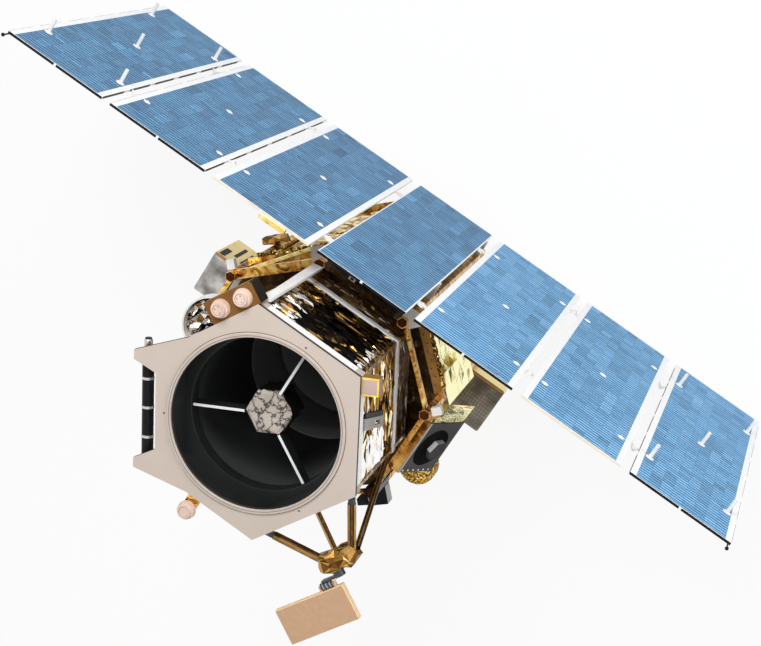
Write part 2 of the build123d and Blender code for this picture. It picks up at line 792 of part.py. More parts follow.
# Struts: along the side at the root, height of the root, radius
front_root = (front_frame_low + front_frame_high) / 2
mid_root = (mid_frame_low + mid_frame_high) / 2
strut_table = [
    (strut_low_along, front_root, front_strut_radius), (strut_low_along, mid_root, rear_strut_radius),
    (strut_high_along, front_root, front_strut_radius), (strut_high_along, mid_root, rear_strut_radius),
]
struts, fittings = [], []
for (root_along, root_height, strut_radius), tip_along in zip(strut_table, strut_tips):
    root = Vector(place(antenna_side, root_along, frame_face, root_height))
    tip = Vector(place(antenna_side, apex_middle + tip_along, apothem + apex_out, apex_height))
    neck = root + (tip - root).normalized() * fitting_length
    with BuildPart() as strut:
        rod_between(neck, tip, strut_radius)
        add(apex_block.part, mode=Mode.SUBTRACT)
    struts.append(strut.part.solids().sort_by(SortBy.VOLUME)[-1])
    with BuildPart() as fitting:
        fitting_start = root - (tip - root).normalized() * fitting_length
        rod_between(fitting_start, neck, strut_radius - fitting_slim)
        with BuildSketch(side(antenna_side, frame_face, root_height)):
            with Locations((root_along, 0)):
                Rectangle(fitting_foot_along, fitting_foot_tall)
        extrude(amount=fitting_foot_thick)
        split(bisect_by=side(antenna_side, frame_face, root_height), keep=Keep.TOP)
    fittings.append(fitting.part)
save(Compound(children=struts), "antenna_struts")
save(Compound(children=fittings), "strut_fittings")

# Gimbal: roll drive on the block, link with the tilt drive, plate with two arms
apex_face = apothem + apex_out + apex_depth / 2
with BuildPart() as roll_drive:
    with BuildSketch(side(antenna_side, apex_face, apex_height)):
        with Locations((roll_along, 0)):
            Circle(roll_radius)
    extrude(amount=roll_length)
save(roll_drive.part, "roll_drive")

link_near = apex_face + roll_length + seat_gap
tilt_centre = link_near + link_thick + tilt_radius
with BuildPart() as gimbal_link:
    with BuildSketch(side(antenna_side, link_near, apex_height)):
        with Locations((roll_along, 0)):
            Circle(roll_radius)
        with Locations(((roll_along + tilt_along) / 2, 0)):
            Rectangle(abs(tilt_along - roll_along) + tilt_length / 2, 2 * tilt_radius)
    extrude(amount=link_thick)
    rod_between(
        place(antenna_side, tilt_along - tilt_length / 2, tilt_centre, apex_height),
        place(antenna_side, tilt_along + tilt_length / 2, tilt_centre, apex_height), tilt_radius,
    )
save(gimbal_link.part, "gimbal_link")

dish_near = tilt_centre + tilt_radius + dish_gap
with BuildPart() as antenna_plate:
    with BuildSketch(side(antenna_side, dish_near, apex_height)):
        with Locations((dish_end - dish_width / 2, 0)):
            Rectangle(dish_width, dish_thick)
    extrude(amount=dish_depth)
    chamfer(antenna_plate.edges().group_by(Axis.Z)[-1], length=dish_chamfer)
    for hand in (-1, 1):
        arm_mid = tilt_along + hand * (tilt_length / 2 + seat_gap + arm_thick / 2)
        arm_plane = side(antenna_side + 90, arm_mid - arm_thick / 2, apex_height)
        hub_place = place(antenna_side, arm_mid, tilt_centre, apex_height)
        edge_place = place(antenna_side, arm_mid, dish_near + arm_overlap, apex_height)
        hub = arm_plane.to_local_coords(hub_place)
        edge = arm_plane.to_local_coords(edge_place)
        with BuildSketch(arm_plane):
            with Locations((hub.X, 0)):
                Circle(arm_radius)
            with Locations(((hub.X + edge.X) / 2, 0)):
                Rectangle(abs(edge.X - hub.X), 2 * arm_radius)
        extrude(amount=arm_thick)
save(antenna_plate.part, "antenna_plate")

# Solar array: panel name, middle x, width, sign of x, whether it carries bolt catchers
pitch = panel_width + panel_gap
first = centre_panel_width / 2 + panel_gap + panel_width / 2
panel_table = [
    ("panel_1", -first - 2 * pitch, panel_width, True), ("panel_2", -first - pitch, panel_width, False),
    ("panel_3", -first, panel_width, False), ("panel_4", 0.0, centre_panel_width, False),
    ("panel_5", first, panel_width, False), ("panel_6", first + pitch, panel_width, False),
    ("panel_7", first + 2 * pitch, panel_width, True),
]
for name, x, width, has_posts in panel_table:
    with BuildPart() as panel:
        with BuildSketch(Plane.XY.offset(panel_low)):
            with Locations((x, panel_middle)):
                Rectangle(width, panel_thick)
        extrude(amount=panel_length)
    save(panel.part, name)

# Hinge lines, from the middle outwards: the axis in y, heights of the two hinges
hinge_table = [
    (panel_middle, root_hinges), (cell_face + fold_offset, middle_hinges),
    (panel_back - fold_offset, outer_hinges),
]
hinge_x = [centre_panel_width / 2 + panel_gap / 2 + number * pitch for number in range(3)]


def lug(axis_x, axis_y, edge_x, low, thick):
    """Add one hinge lug: a foot on the panel's edge that narrows to a round eye on the axis."""
    with BuildSketch(Plane.XY.offset(low)) as outline:
        with Locations((axis_x, axis_y)):
            Circle(knuckle_radius)
        with BuildLine():
            Polyline(
                (edge_x, panel_middle - lug_foot / 2), (edge_x, panel_middle + lug_foot / 2),
                (axis_x, axis_y + knuckle_radius), (axis_x, axis_y - knuckle_radius), close=True,
            )
        make_face()
    extrude(outline.sketch, amount=thick)


def clevis(axis_x, axis_y, edge_x, height):
    """Add two ears and the pin that they hold."""
    reach = tongue_thick / 2 + ear_gap
    for low in (height - reach - ear_thick, height + reach):
        lug(axis_x, axis_y, edge_x, low, ear_thick)
    with BuildSketch(Plane.XY.offset(height - reach - ear_thick)) as pin:
        with Locations((axis_x, axis_y)):
            Circle(pin_radius)
    extrude(pin.sketch, amount=2 * reach + 2 * ear_thick)


def tongue(axis_x, axis_y, edge_x, height):
    """Add the lug that turns on the pin."""
    lug(axis_x, axis_y, edge_x, height - tongue_thick / 2, tongue_thick)
    with BuildSketch(Plane.XY.offset(height - tongue_thick / 2)) as eye:
        with Locations((axis_x, axis_y)):
            Circle(pin_radius + pin_clearance)
    extrude(eye.sketch, amount=tongue_thick, mode=Mode.SUBTRACT)


for name, x, width, has_posts in panel_table:
    number = round((abs(x) - first) / pitch) + 1 if x else 0
    sign = 1 if x > 0 else -1
    with BuildPart() as fittings_part:
        for hand in ((-1, 1) if number == 0 else (sign,)):
            if number < 3:
                axis_y, heights = hinge_table[number]
                for height in heights:
                    clevis(hand * hinge_x[number], axis_y, x + hand * width / 2, panel_low + height)
        if number > 0:
            axis_y, heights = hinge_table[number - 1]
            for height in heights:
                tongue(sign * hinge_x[number - 1], axis_y, x - sign * width / 2, panel_low + height)
        if has_posts:
            spots = [(0, 0)] + [(i * post_step_x, k * post_step_z) for i in (-1, 1) for k in (-1, 1)]
            for dx, dz in spots:
                foot_place = (x + dx, cell_face, (panel_low + panel_high) / 2 + dz)
                foot = Plane(foot_place, x_dir=(1, 0, 0), z_dir=(0, 1, 0))
                with BuildSketch(foot):
                    Circle(post_flange_radius)
                extrude(amount=post_flange_thick)
                with BuildSketch(foot):
                    Circle(post_radius)
                extrude(amount=post_length)
        if name == "panel_3":
            bar_x = x + width / 2 - edge_bar_inset - edge_bar_length / 2
            with Locations((bar_x, panel_back - edge_bar_size / 2, panel_high - edge_bar_size / 2)):
                Box(edge_bar_length, edge_bar_size, edge_bar_size)
    save(fittings_part.part, f"{name}_fittings")
    if has_posts:
        corner = x + sign * (width / 2 - panel_thick)
        with BuildPart() as corner_stub:
            with BuildSketch(Plane.XY.offset(panel_high)):
                with Locations((corner, panel_middle)):
                    Circle(stub_radius)
            extrude(amount=stub_length)
            with Locations((corner, panel_middle, panel_high + stub_length)):
                Sphere(stub_ball)
        save(corner_stub.part, f"{name}_stub")

# Standoffs between the middle panel and the longerons, and two brackets on the rim
longeron_face = bus_half_y + longeron_radius * sqrt(3) / 2
standoff_heights = (deck_top - standoff_below_deck, panel_low + standoff_low)
with BuildPart() as array_standoffs:
    for hand in (-1, 1):
        for height in standoff_heights:
            with Locations((hand * bus_flat_x, (longeron_face + panel_back) / 2, height)):
                Box(standoff_width, panel_back - longeron_face, standoff_width)
        # Bracket plate on the rim: a leg to the panel's back and a wing beside the longeron
        wing_y = bus_half_y + bracket_wing_out
        with BuildSketch(Plane.XY.offset(rim_high)) as bracket:
            with BuildLine():
                Polyline(
                    (hand * (bus_flat_x - bracket_in), bus_half_y - rim_width / 2),
                    (hand * (bus_flat_x - bracket_in), bus_half_y + rim_width / 2),
                    (hand * (bus_flat_x - bracket_leg), panel_back), (hand * bus_flat_x, panel_back),
                    (hand * bus_flat_x, wing_y + bracket_wing_width),
                    (hand * (bus_flat_x + bracket_wing - bracket_wing_width), wing_y + bracket_wing_width),
                    (hand * (bus_flat_x + bracket_wing), wing_y),
                    (hand * (bus_flat_x + bracket_wing / 2), bus_half_y - rim_width / 2), close=True,
                )
            make_face()
            with Locations((hand * bus_flat_x, bus_half_y)):
                RegularPolygon(longeron_radius + seat_gap, 6, mode=Mode.SUBTRACT)
        extrude(bracket.sketch, amount=bracket_thick)
save(array_standoffs.part, "array_standoffs")
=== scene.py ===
# %% [markdown]
# # An imaging satellite with a folding solar array
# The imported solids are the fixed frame: a telescope on an eight-sided bus, a solar array of seven panels
# and a data antenna on struts. This lesson dresses them. Flat machined parts keep their solids and get a
# finish. Foil blankets are modelled again as creased sheets, because a bump map alone would look painted.

# %% Load the frame
import math
import random

import bmesh
import bpy
from mathutils import Matrix, Vector
from mathutils.geometry import delaunay_2d_cdt


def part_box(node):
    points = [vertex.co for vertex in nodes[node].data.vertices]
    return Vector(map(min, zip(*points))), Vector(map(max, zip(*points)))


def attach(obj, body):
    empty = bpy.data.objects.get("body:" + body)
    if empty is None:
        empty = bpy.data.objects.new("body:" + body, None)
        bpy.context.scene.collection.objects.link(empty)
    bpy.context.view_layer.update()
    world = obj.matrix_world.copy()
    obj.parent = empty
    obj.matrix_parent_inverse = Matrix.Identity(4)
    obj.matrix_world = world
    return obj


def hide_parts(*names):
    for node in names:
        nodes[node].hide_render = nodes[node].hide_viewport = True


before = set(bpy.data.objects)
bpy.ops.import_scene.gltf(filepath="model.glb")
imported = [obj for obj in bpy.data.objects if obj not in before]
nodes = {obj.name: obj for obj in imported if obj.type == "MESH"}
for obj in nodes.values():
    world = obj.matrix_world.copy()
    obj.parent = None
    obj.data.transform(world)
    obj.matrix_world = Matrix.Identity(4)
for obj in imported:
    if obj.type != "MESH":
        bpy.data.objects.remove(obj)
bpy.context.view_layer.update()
scene = bpy.context.scene
scene.view_settings.view_transform = "Standard"

# %% [markdown]
# ## Camera
# The photograph looks down on the telescope from the array's side, with the camera rolled. A camera is
# placed by its three axes, and the lens follows from the focal length that was fitted to the picture.

# %% Camera
image_width, image_height = 761, 646
focal_pixels = 1753.365
camera_place = Vector((1.5654, 5.7961, 16.6616))
camera_right = Vector((0.81163, 0.51953, -0.26712))
camera_down = Vector((0.57726, -0.78342, 0.23029))
camera_forward = Vector((-0.08963, -0.3411, -0.93574))

camera_data = bpy.data.cameras.new("camera")
camera_data.sensor_width = 36.0
camera_data.lens = focal_pixels * camera_data.sensor_width / image_width
camera_data.clip_end = 200.0
camera = bpy.data.objects.new("camera", camera_data)
scene.collection.objects.link(camera)
axes = Matrix((camera_right, -camera_down, -camera_forward)).transposed()
camera.matrix_world = Matrix.Translation(camera_place) @ axes.to_4x4()
scene.camera = camera
print("lens", round(camera_data.lens, 2), "mm for a picture of", image_width, "by", image_height)

# %% [markdown]
# ## Shader nodes
# Every surface below is a small node tree. These helpers add its steps, so that a finish reads like a
# formula.

# %% Node helpers
def add_node(tree, kind, values=None, links=None, **settings):
    """Add a shader node, set its properties, plain inputs and links, and return it."""
    node = tree.nodes.new("ShaderNode" + kind)
    for key, value in settings.items():
        setattr(node, key, value)
    for key, value in (values or {}).items():
        node.inputs[key].default_value = value
    for key, socket in (links or {}).items():
        tree.links.new(socket, node.inputs[key])
    return node


def start_material(name, roughness, metallic=0.0, specular=0.5):
    """Make a material with one main shader, and return it with its tree and that shader."""
    material = bpy.data.materials.new(name)
    material.use_nodes = True
    shader = material.node_tree.nodes["Principled BSDF"]
    shader.inputs["Roughness"].default_value = roughness
    shader.inputs["Metallic"].default_value = metallic
    shader.inputs["Specular IOR Level"].default_value = specular
    return material, material.node_tree, shader


def math_node(tree, operation, *terms):
    """Add one arithmetic step on values or links, and return its result."""
    node = add_node(tree, "Math", operation=operation)
    for socket, term in zip(node.inputs, terms):
        if isinstance(term, (int, float)):
            socket.default_value = term
        else:
            tree.links.new(term, socket)
    return node.outputs[0]


def ray_share(tree, seen_share):
    """A value for shaders: the given share for the camera's rays, 1 for reflected or refracted ones."""
    path = add_node(tree, "LightPath").outputs
    value = math_node(tree, "MULTIPLY", path["Is Camera Ray"], seen_share)
    for kind in ("Is Glossy Ray", "Is Transmission Ray"):
        value = math_node(tree, "MAXIMUM", value, path[kind])
    return value


def join_shaders(tree, share, first, second, output):
    """Blend two shaders by a share of the second, and show the result."""
    blend = add_node(tree, "MixShader", links={0: share, 1: first.outputs[0], 2: second.outputs[0]})
    tree.links.new(blend.outputs[0], output.inputs["Surface"])


# %% [markdown]
# ## Floor and studio light
# A pale floor fills the picture, so it decides the background. To the camera it is mostly plain white, with
# enough of its own shading left to keep the object's shadow. In reflections floor and world are white, as
# foil and glass show in the photograph. Two soft lamps and an even world light the object at a plain level,
# so that colours render about as they are written.

# %% Floor and studio light
floor_half = 60.0
floor_mesh = bpy.data.meshes.new("floor")
corners = [(x * floor_half, y * floor_half, 0.0) for x, y in ((-1, -1), (1, -1), (1, 1), (-1, 1))]
floor_mesh.from_pydata(corners, [], [(0, 1, 2, 3)])
floor = bpy.data.objects.new("floor", floor_mesh)
scene.collection.objects.link(floor)

plain_white = (1.0, 1.0, 1.0, 1.0)
floor_finish, tree, paper = start_material("floor_finish", 0.9, specular=0.1)
paper.inputs["Base Color"].default_value = (0.94, 0.94, 0.94, 1.0)
glow = add_node(tree, "Emission", {"Color": plain_white, "Strength": 1.0})
join_shaders(tree, ray_share(tree, 0.9), paper, glow, tree.nodes["Material Output"])
floor_mesh.materials.append(floor_finish)

world = bpy.data.worlds.new("studio")
world.use_nodes = True
scene.world = world
tree = world.node_tree
tree.nodes.clear()
seen = add_node(tree, "Background", {"Color": plain_white, "Strength": 1.0})
lit = add_node(tree, "Background", {"Color": (0.97, 0.98, 1.0, 1.0), "Strength": 0.45})
join_shaders(tree, ray_share(tree, 1.0), lit, seen, add_node(tree, "OutputWorld"))


def soft_lamp(name, place, aim, size, power):
    """Add one square soft lamp that points at the given place."""
    data = bpy.data.lights.new(name, "AREA")
    data.size = size
    data.energy = power
    lamp = bpy.data.objects.new(name, data)
    lamp.location = place
    lamp.rotation_euler = (Vector(aim) - Vector(place)).to_track_quat("-Z", "Y").to_euler()
    scene.collection.objects.link(lamp)


body_middle = (0.0, 0.3, 2.4)
soft_lamp("key", (-5.0, 8.0, 13.0), body_middle, 6.0, 1230.0)
soft_lamp("fill", (9.0, 7.0, 8.0), body_middle, 6.0, 470.0)
print("lamps", len(bpy.data.lights))

# %% [markdown]
# ## Finishes
# Painted and bare surfaces take a noise that mottles their colour and a fine bump. A solid with several
# finishes gets zones: masks made from the direction a face looks in, or from its place in the frame. Foil
# reads two values that are stored in its mesh: a tone for each facet, which is a painted reflection, and the
# distance to the facet's edges, so creases can be drawn where the mesh really folds. The creases are painted
# shade on most films and painted glints on the dark one.

# %% Material helpers
def colour_ramp(tree, stops, factor):
    """Add a colour ramp with (position, colour) stops, and return the colour that a factor picks."""
    ramp = add_node(tree, "ValToRGB", links={"Fac": factor})
    elements = ramp.color_ramp.elements
    while len(elements) < len(stops):
        elements.new(1.0)
    for element, (position, colour) in zip(elements, stops):
        element.position = position
        element.color = (*colour, 1.0)
    return ramp.outputs["Color"]


def fading(tree, factor, width):
    """White where the factor is 0, black from the given width on."""
    return colour_ramp(tree, [(0.0, (1.0, 1.0, 1.0)), (width, (0.0, 0.0, 0.0))], factor)


def stored(tree, name, output):
    """A value that is stored in the mesh."""
    return add_node(tree, "Attribute", attribute_name=name).outputs[output]


def noise(tree, scale, detail=4.0, stretch=(1.0, 1.0, 1.0), swirl=0.0):
    """Add a noise in object space, stretched along its axes and swirled, and return its value."""
    place = add_node(tree, "TexCoord").outputs["Object"]
    mapping = add_node(tree, "Mapping", {"Scale": stretch}, {"Vector": place})
    texture = add_node(tree, "TexNoise", {"Scale": scale, "Detail": detail, "Distortion": swirl},
                       {"Vector": mapping.outputs["Vector"]})
    return texture.outputs["Fac"]


def bump(tree, shader, height, depth, strength=0.5):
    """Let a value raise the surface by at most the given depth in metres."""
    node = add_node(tree, "Bump", {"Distance": depth, "Strength": strength}, {"Height": height})
    tree.links.new(node.outputs["Normal"], shader.inputs["Normal"])


def along_value(tree, output, axis):
    """How far the surface's place or direction goes along an axis."""
    where = add_node(tree, "TexCoord").outputs[output]
    return add_node(tree, "VectorMath", {1: axis}, {0: where}, operation="DOT_PRODUCT").outputs["Value"]


def faces(axis, least):
    """Zone of the surface that looks along an axis."""
    return lambda tree: math_node(tree, "GREATER_THAN", along_value(tree, "Normal", axis), least)


def beyond(axis, offset):
    """Zone that lies further along an axis than the offset, in metres."""
    return lambda tree: math_node(tree, "GREATER_THAN", along_value(tree, "Object", axis), offset)


def within(axis, middle, half):
    """Zone that lies near a plane across an axis."""
    return lambda tree: math_node(tree, "COMPARE", along_value(tree, "Object", axis), middle, half)


def both(*zones):
    """Zone where all the given zones hold."""
    def mask(tree):
        value = zones[0](tree)
        for zone in zones[1:]:
            value = math_node(tree, "MULTIPLY", value, zone(tree))
        return value
    return mask


def inside_radius(radius):
    """Zone nearer to the telescope's axis than the given radius."""
    def mask(tree):
        x, y = along_value(tree, "Object", (1, 0, 0)), along_value(tree, "Object", (0, 1, 0))
        squares = math_node(tree, "MULTIPLY_ADD", y, y, math_node(tree, "MULTIPLY", x, x))
        return math_node(tree, "LESS_THAN", squares, radius * radius)
    return mask


def mixed(tree, factor, first, second):
    """Blend two colours by a factor."""
    blend = add_node(tree, "Mix", links={"Factor": factor, "A": first}, data_type="RGBA")
    if isinstance(second, tuple):
        blend.inputs["B"].default_value = (*second, 1.0)
    else:
        tree.links.new(second, blend.inputs["B"])
    return blend.outputs["Result"]


def zoned(name, stops, zones, roughness, metallic=0.0, scale=8.0, stretch=(1, 1, 1), depth=0.0006,
          specular=0.5, swirl=0.0):
    """A mottled surface whose colours change from zone to zone. Stops follow a noise."""
    material, tree, shader = start_material(name, roughness, metallic, specular)
    drift = noise(tree, scale, 5.0, stretch, swirl)
    colour = colour_ramp(tree, stops, drift)
    for zone, zone_stops in zones:
        colour = mixed(tree, zone(tree), colour, colour_ramp(tree, zone_stops, drift))
    tree.links.new(colour, shader.inputs["Base Color"])
    bump(tree, shader, noise(tree, 160.0, 6.0), depth, 0.35)
    return material


def two(dark, pale):
    """Stops of a quiet mottle between two shades."""
    return [(0.3, dark), (0.7, pale)]


def mottled(name, dark, pale, roughness, metallic=0.0, scale=9.0, depth=0.0006, specular=0.5):
    """A surface whose colour drifts between two shades, with a fine bump."""
    return zoned(name, two(dark, pale), [], roughness, metallic, scale, depth=depth, specular=specular)


def foil(name, stops, crease, crease_width, roughness, metallic=1.0, grain_share=0.5, often=0.46):
    """Creased film: each facet's tone, a painted reflection, picks its colour, and some of its edges show as
    creases: painted shade on most films, painted glints on the dark one.
    """
    material, tree, shader = start_material(name, roughness, metallic)
    tone = stored(tree, "facet_reflection_tone", "Fac")
    grain = math_node(tree, "MULTIPLY_ADD", noise(tree, 7.0, 5.0), grain_share, tone)
    film = colour_ramp(tree, stops, math_node(tree, "SUBTRACT", grain, grain_share / 2))
    edge = stored(tree, "facet_edge", "Vector")
    parts = add_node(tree, "SeparateXYZ", links={0: edge}).outputs
    nearest = math_node(tree, "MINIMUM", math_node(tree, "MINIMUM", parts[0], parts[1]), parts[2])
    chosen = [(often, (0.0, 0.0, 0.0)), (often + 0.12, (1.0, 1.0, 1.0))]
    some = colour_ramp(tree, chosen, noise(tree, 5.0, 2.0))
    mask = math_node(tree, "MULTIPLY", fading(tree, nearest, crease_width), some)
    tree.links.new(mixed(tree, mask, film, crease), shader.inputs["Base Color"])
    bump(tree, shader, noise(tree, 38.0, 6.0), 0.004, 0.6)
    return material


# %% Paints, metals and plastics
beige = two((0.600, 0.505, 0.435), (0.635, 0.540, 0.465))
dark_edge = two((0.020, 0.016, 0.012), (0.05, 0.042, 0.034))
white = two((0.80, 0.79, 0.77), (0.88, 0.87, 0.85))
black = two((0.006, 0.007, 0.007), (0.013, 0.014, 0.014))
gun = two((0.052, 0.047, 0.043), (0.082, 0.075, 0.069))
up = (0.0, 0.0, 1.0)
down = (0.0, 0.0, -1.0)
north = (0.0, 1.0, 0.0)

plate_paint = zoned("plate_paint", dark_edge, [(faces(up, 0.5), beige)], 0.6, scale=3.0)
lip_paint = mottled("lip_paint", (0.56, 0.47, 0.40), (0.62, 0.53, 0.46), 0.45, scale=5.0)
groove_shade_paint = mottled("groove_shade_paint", (0.10, 0.08, 0.065), (0.17, 0.14, 0.115), 0.6, scale=9.0)
white_paint = zoned("white_paint", white, [], 0.5, scale=6.0)
bar_paint = zoned("bar_paint", [(0.32, (0.86, 0.81, 0.77)), (0.5, (0.96, 0.95, 0.94))], [], 0.35, scale=4.0)
cream_paint = mottled("cream_paint", (0.80, 0.70, 0.58), (0.90, 0.81, 0.70), 0.5, scale=6.0)
cap_paint = mottled("cap_paint", (0.44, 0.36, 0.31), (0.56, 0.47, 0.41), 0.5, scale=20.0)
black_paint = zoned("black_paint", black, [], 0.6, scale=4.0)
flange_paint = mottled("flange_paint", (0.008, 0.009, 0.009), (0.014, 0.015, 0.015), 0.55, scale=4.0,
                       specular=0.3)
satin_black = mottled("satin_black", (0.006, 0.006, 0.007), (0.012, 0.012, 0.013), 0.38, scale=12.0,
                      specular=0.12)
rib_depth = 1.80
rib_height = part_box("front_plate")[1][2] - rib_depth
# Below the rib the tube's wall gets a pale grey, painted light, so the deep bore that little light reaches
# renders as evenly dark as the wall above it.
deep_wall_painted_light = two((0.46, 0.463, 0.466), (0.52, 0.523, 0.526))
tube_paint = zoned("tube_paint", two((0.040, 0.042, 0.042), (0.052, 0.054, 0.054)),
                   [(beyond(down, -rib_height), deep_wall_painted_light)], 0.6, scale=3.0)
vane_white = two((0.93, 0.93, 0.93), (0.98, 0.98, 0.98))
vane_paint = zoned("vane_paint", black, [(both(faces(up, 0.5), inside_radius(0.632)), vane_white)], 0.55)
silver_metal = mottled("silver_metal", (0.52, 0.49, 0.46), (0.72, 0.69, 0.66), 0.28, 0.9, scale=14.0)
dark_grey = mottled("dark_grey", (0.050, 0.055, 0.060), (0.10, 0.107, 0.115), 0.36, 0.5, scale=16.0,
                    specular=0.2)
pale_grey = mottled("pale_grey", (0.32, 0.315, 0.31), (0.42, 0.415, 0.41), 0.4, 0.3, scale=12.0)
horn_peach = mottled("horn_peach", (0.74, 0.54, 0.44), (0.84, 0.65, 0.54), 0.5, scale=9.0)
tan_strip = mottled("tan_strip", (0.42, 0.22, 0.07), (0.55, 0.30, 0.10), 0.4, 0.4, scale=11.0)
# Near-black brown for the plugs in the longerons' ends: their brown insides, darkened as painted shade.
longeron_hollow_shade = mottled("longeron_hollow_shade", (0.045, 0.009, 0.003), (0.075, 0.018, 0.005), 0.5, scale=30.0,
                       specular=0.08)
mirror_glass = mottled("mirror_glass", (0.05, 0.051, 0.053), (0.06, 0.061, 0.063), 0.2, 0.6, scale=2.0,
                       depth=0.0)
horn_box_paint = zoned("horn_box_paint", two((0.20, 0.090, 0.022), (0.245, 0.115, 0.032)),
                       [(faces(north, 0.6), two((0.008, 0.005, 0.003), (0.014, 0.009, 0.006)))], 0.5,
                       specular=0.08)
patch_paint = zoned("patch_paint", two((0.16, 0.075, 0.02), (0.34, 0.17, 0.045)),
                    [(faces(up, 0.5), two((0.90, 0.62, 0.06), (1.0, 0.80, 0.20)))], 0.4, scale=20.0)
patch_face = mottled("patch_face", (0.56, 0.39, 0.33), (0.62, 0.45, 0.39), 0.5, scale=10.0)
# The plate's edges and sides are lighter than its top: painted highlights along its edges.
dish_tan = zoned("dish_tan", two((0.90, 0.60, 0.33), (0.97, 0.72, 0.45)),
                 [(faces(up, 0.8), two((0.60, 0.375, 0.222), (0.645, 0.41, 0.25)))], 0.7, scale=24.0,
                 depth=0.0012, specular=0.3)

# %% Films
gold_stops = [(0.0, (0.02, 0.009, 0.002)), (0.3, (0.20, 0.08, 0.010)), (0.55, (0.60, 0.30, 0.035)),
              (0.78, (0.95, 0.62, 0.13)), (1.0, (1.0, 0.90, 0.45))]
bronze_stops = [(0.0, (0.04, 0.018, 0.004)), (0.35, (0.20, 0.095, 0.020)), (0.7, (0.40, 0.205, 0.048)),
                (0.9, (0.62, 0.36, 0.10)), (1.0, (0.85, 0.58, 0.22))]
dark_stops = [(0.0, (0.003, 0.003, 0.003)), (0.5, (0.007, 0.006, 0.004)), (0.68, (0.06, 0.028, 0.008)),
              (0.84, (0.34, 0.17, 0.040)), (0.93, (0.60, 0.36, 0.11)), (0.97, (0.85, 0.82, 0.78))]
streak_stops = [(0.0, (0.004, 0.003, 0.002)), (0.35, (0.035, 0.015, 0.004)), (0.6, (0.18, 0.080, 0.016)),
                (0.8, (0.52, 0.27, 0.055)), (0.93, (0.95, 0.80, 0.48)), (1.0, (0.95, 0.94, 0.92))]
smoke_stops = [(0.0, (0.020, 0.010, 0.003)), (0.5, (0.085, 0.040, 0.010)), (0.8, (0.17, 0.082, 0.018)),
               (0.93, (0.32, 0.17, 0.05)), (1.0, (0.95, 0.88, 0.80))]
pale_stops = [(0.0, (0.70, 0.36, 0.05)), (0.14, (0.98, 0.75, 0.22)), (0.3, (1.0, 0.94, 0.44)),
              (1.0, (1.0, 0.97, 0.54))]
gold_foil = foil("gold_foil", gold_stops, (0.06, 0.028, 0.006), 0.05, 0.30)
bronze_foil = foil("bronze_foil", bronze_stops, (0.05, 0.022, 0.005), 0.03, 0.34)
dark_foil = foil("dark_foil", dark_stops, (0.42, 0.22, 0.05), 0.03, 0.26, grain_share=0.16, often=0.55)
streak_foil = foil("streak_foil", streak_stops, (0.010, 0.006, 0.003), 0.04, 0.28, grain_share=0.2,
                   often=0.52)
smoke_foil = foil("smoke_foil", smoke_stops, (0.015, 0.008, 0.003), 0.03, 0.30, 0.3, grain_share=0.25)
pale_foil = foil("pale_foil", pale_stops, (0.85, 0.55, 0.14), 0.02, 0.16, 1.0, often=0.52)


def wrapped_film(name, stops, stretch, zones=(), scale=7.0):
    """Film wound round a beam: swirled streaks of light and dark that are painted reflections on the metal.
    """
    return zoned(name, stops, list(zones), 0.32, 0.85, scale, stretch, swirl=2.0)


def cracked(name, pale, crack, scale, width):
    """Stiff pale film on the faces that look up, broken by jagged cracks, with dark sides."""
    material, tree, shader = start_material(name, 0.5, 0.0, 0.3)
    place = add_node(tree, "TexCoord").outputs["Object"]
    wobble = add_node(tree, "TexNoise", {"Scale": 3.0 * scale, "Detail": 4.0}, {"Vector": place})
    shifted = add_node(tree, "VectorMath", {1: (0.9 / scale, 0.9 / scale, 0.9 / scale)},
                       {0: wobble.outputs["Color"], 2: place}, operation="MULTIPLY_ADD")
    cells = add_node(tree, "TexVoronoi", {"Scale": scale}, {"Vector": shifted.outputs["Vector"]},
                     feature="DISTANCE_TO_EDGE")
    edge = cells.outputs["Distance"]
    film = colour_ramp(tree, pale, noise(tree, 6.0, 5.0))
    broken = mixed(tree, fading(tree, edge, width), film, crack)
    colour = mixed(tree, faces(down, -0.35)(tree), broken, crack)
    tree.links.new(colour, shader.inputs["Base Color"])
    bump(tree, shader, edge, 0.006, 0.5)
    return material


cream_film = cracked("cream_film", two((0.50, 0.43, 0.37), (0.64, 0.56, 0.49)), (0.006, 0.005, 0.004),
                     8.0, 0.10)


beam_stops = [(0.33, (0.03, 0.013, 0.004)), (0.44, (0.46, 0.19, 0.03)), (0.54, (0.92, 0.50, 0.11)),
              (0.66, (1.0, 0.79, 0.29))]
dim_stops = [(0.30, (0.008, 0.005, 0.002)), (0.52, (0.040, 0.020, 0.006)), (0.66, (0.11, 0.058, 0.017)),
             (0.72, (0.55, 0.48, 0.40))]
orange_stops = [(0.36, (0.08, 0.026, 0.004)), (0.47, (0.58, 0.26, 0.045)), (0.64, (0.94, 0.56, 0.17))]
left_out, right_out = (-0.688, 0.726, 0.0), (0.688, 0.726, 0.0)
east = (1.0, 0.0, 0.0)
north_rim = both(beyond(north, 0.93), within(east, 0.0, 0.372), beyond(up, 3.0))
frame_film = wrapped_film("frame_film", beam_stops, (1.0, 1.0, 1.6), [
    (both(beyond(east, 0.97), within(north, 0.0, 0.38), beyond(up, 3.0)), orange_stops),
    (both(beyond(east, 0.93), within(north, -0.43, 0.06), beyond(up, 2.7)), black), (north_rim, dim_stops)])
deck_film = wrapped_film("deck_film", dim_stops, (1.0, 1.0, 1.6), [
    (beyond(right_out, 0.985), two((0.40, 0.21, 0.06), (0.56, 0.31, 0.10))),
    (beyond(left_out, 0.93), beam_stops)])
bracket_film = wrapped_film("bracket_film", beam_stops, (1.4, 1.4, 1.4))
corner_stops = [(0.40, (0.006, 0.004, 0.002)), (0.52, (0.16, 0.07, 0.015)), (0.62, (0.75, 0.45, 0.10)),
                (0.7, (1.0, 0.84, 0.40))]
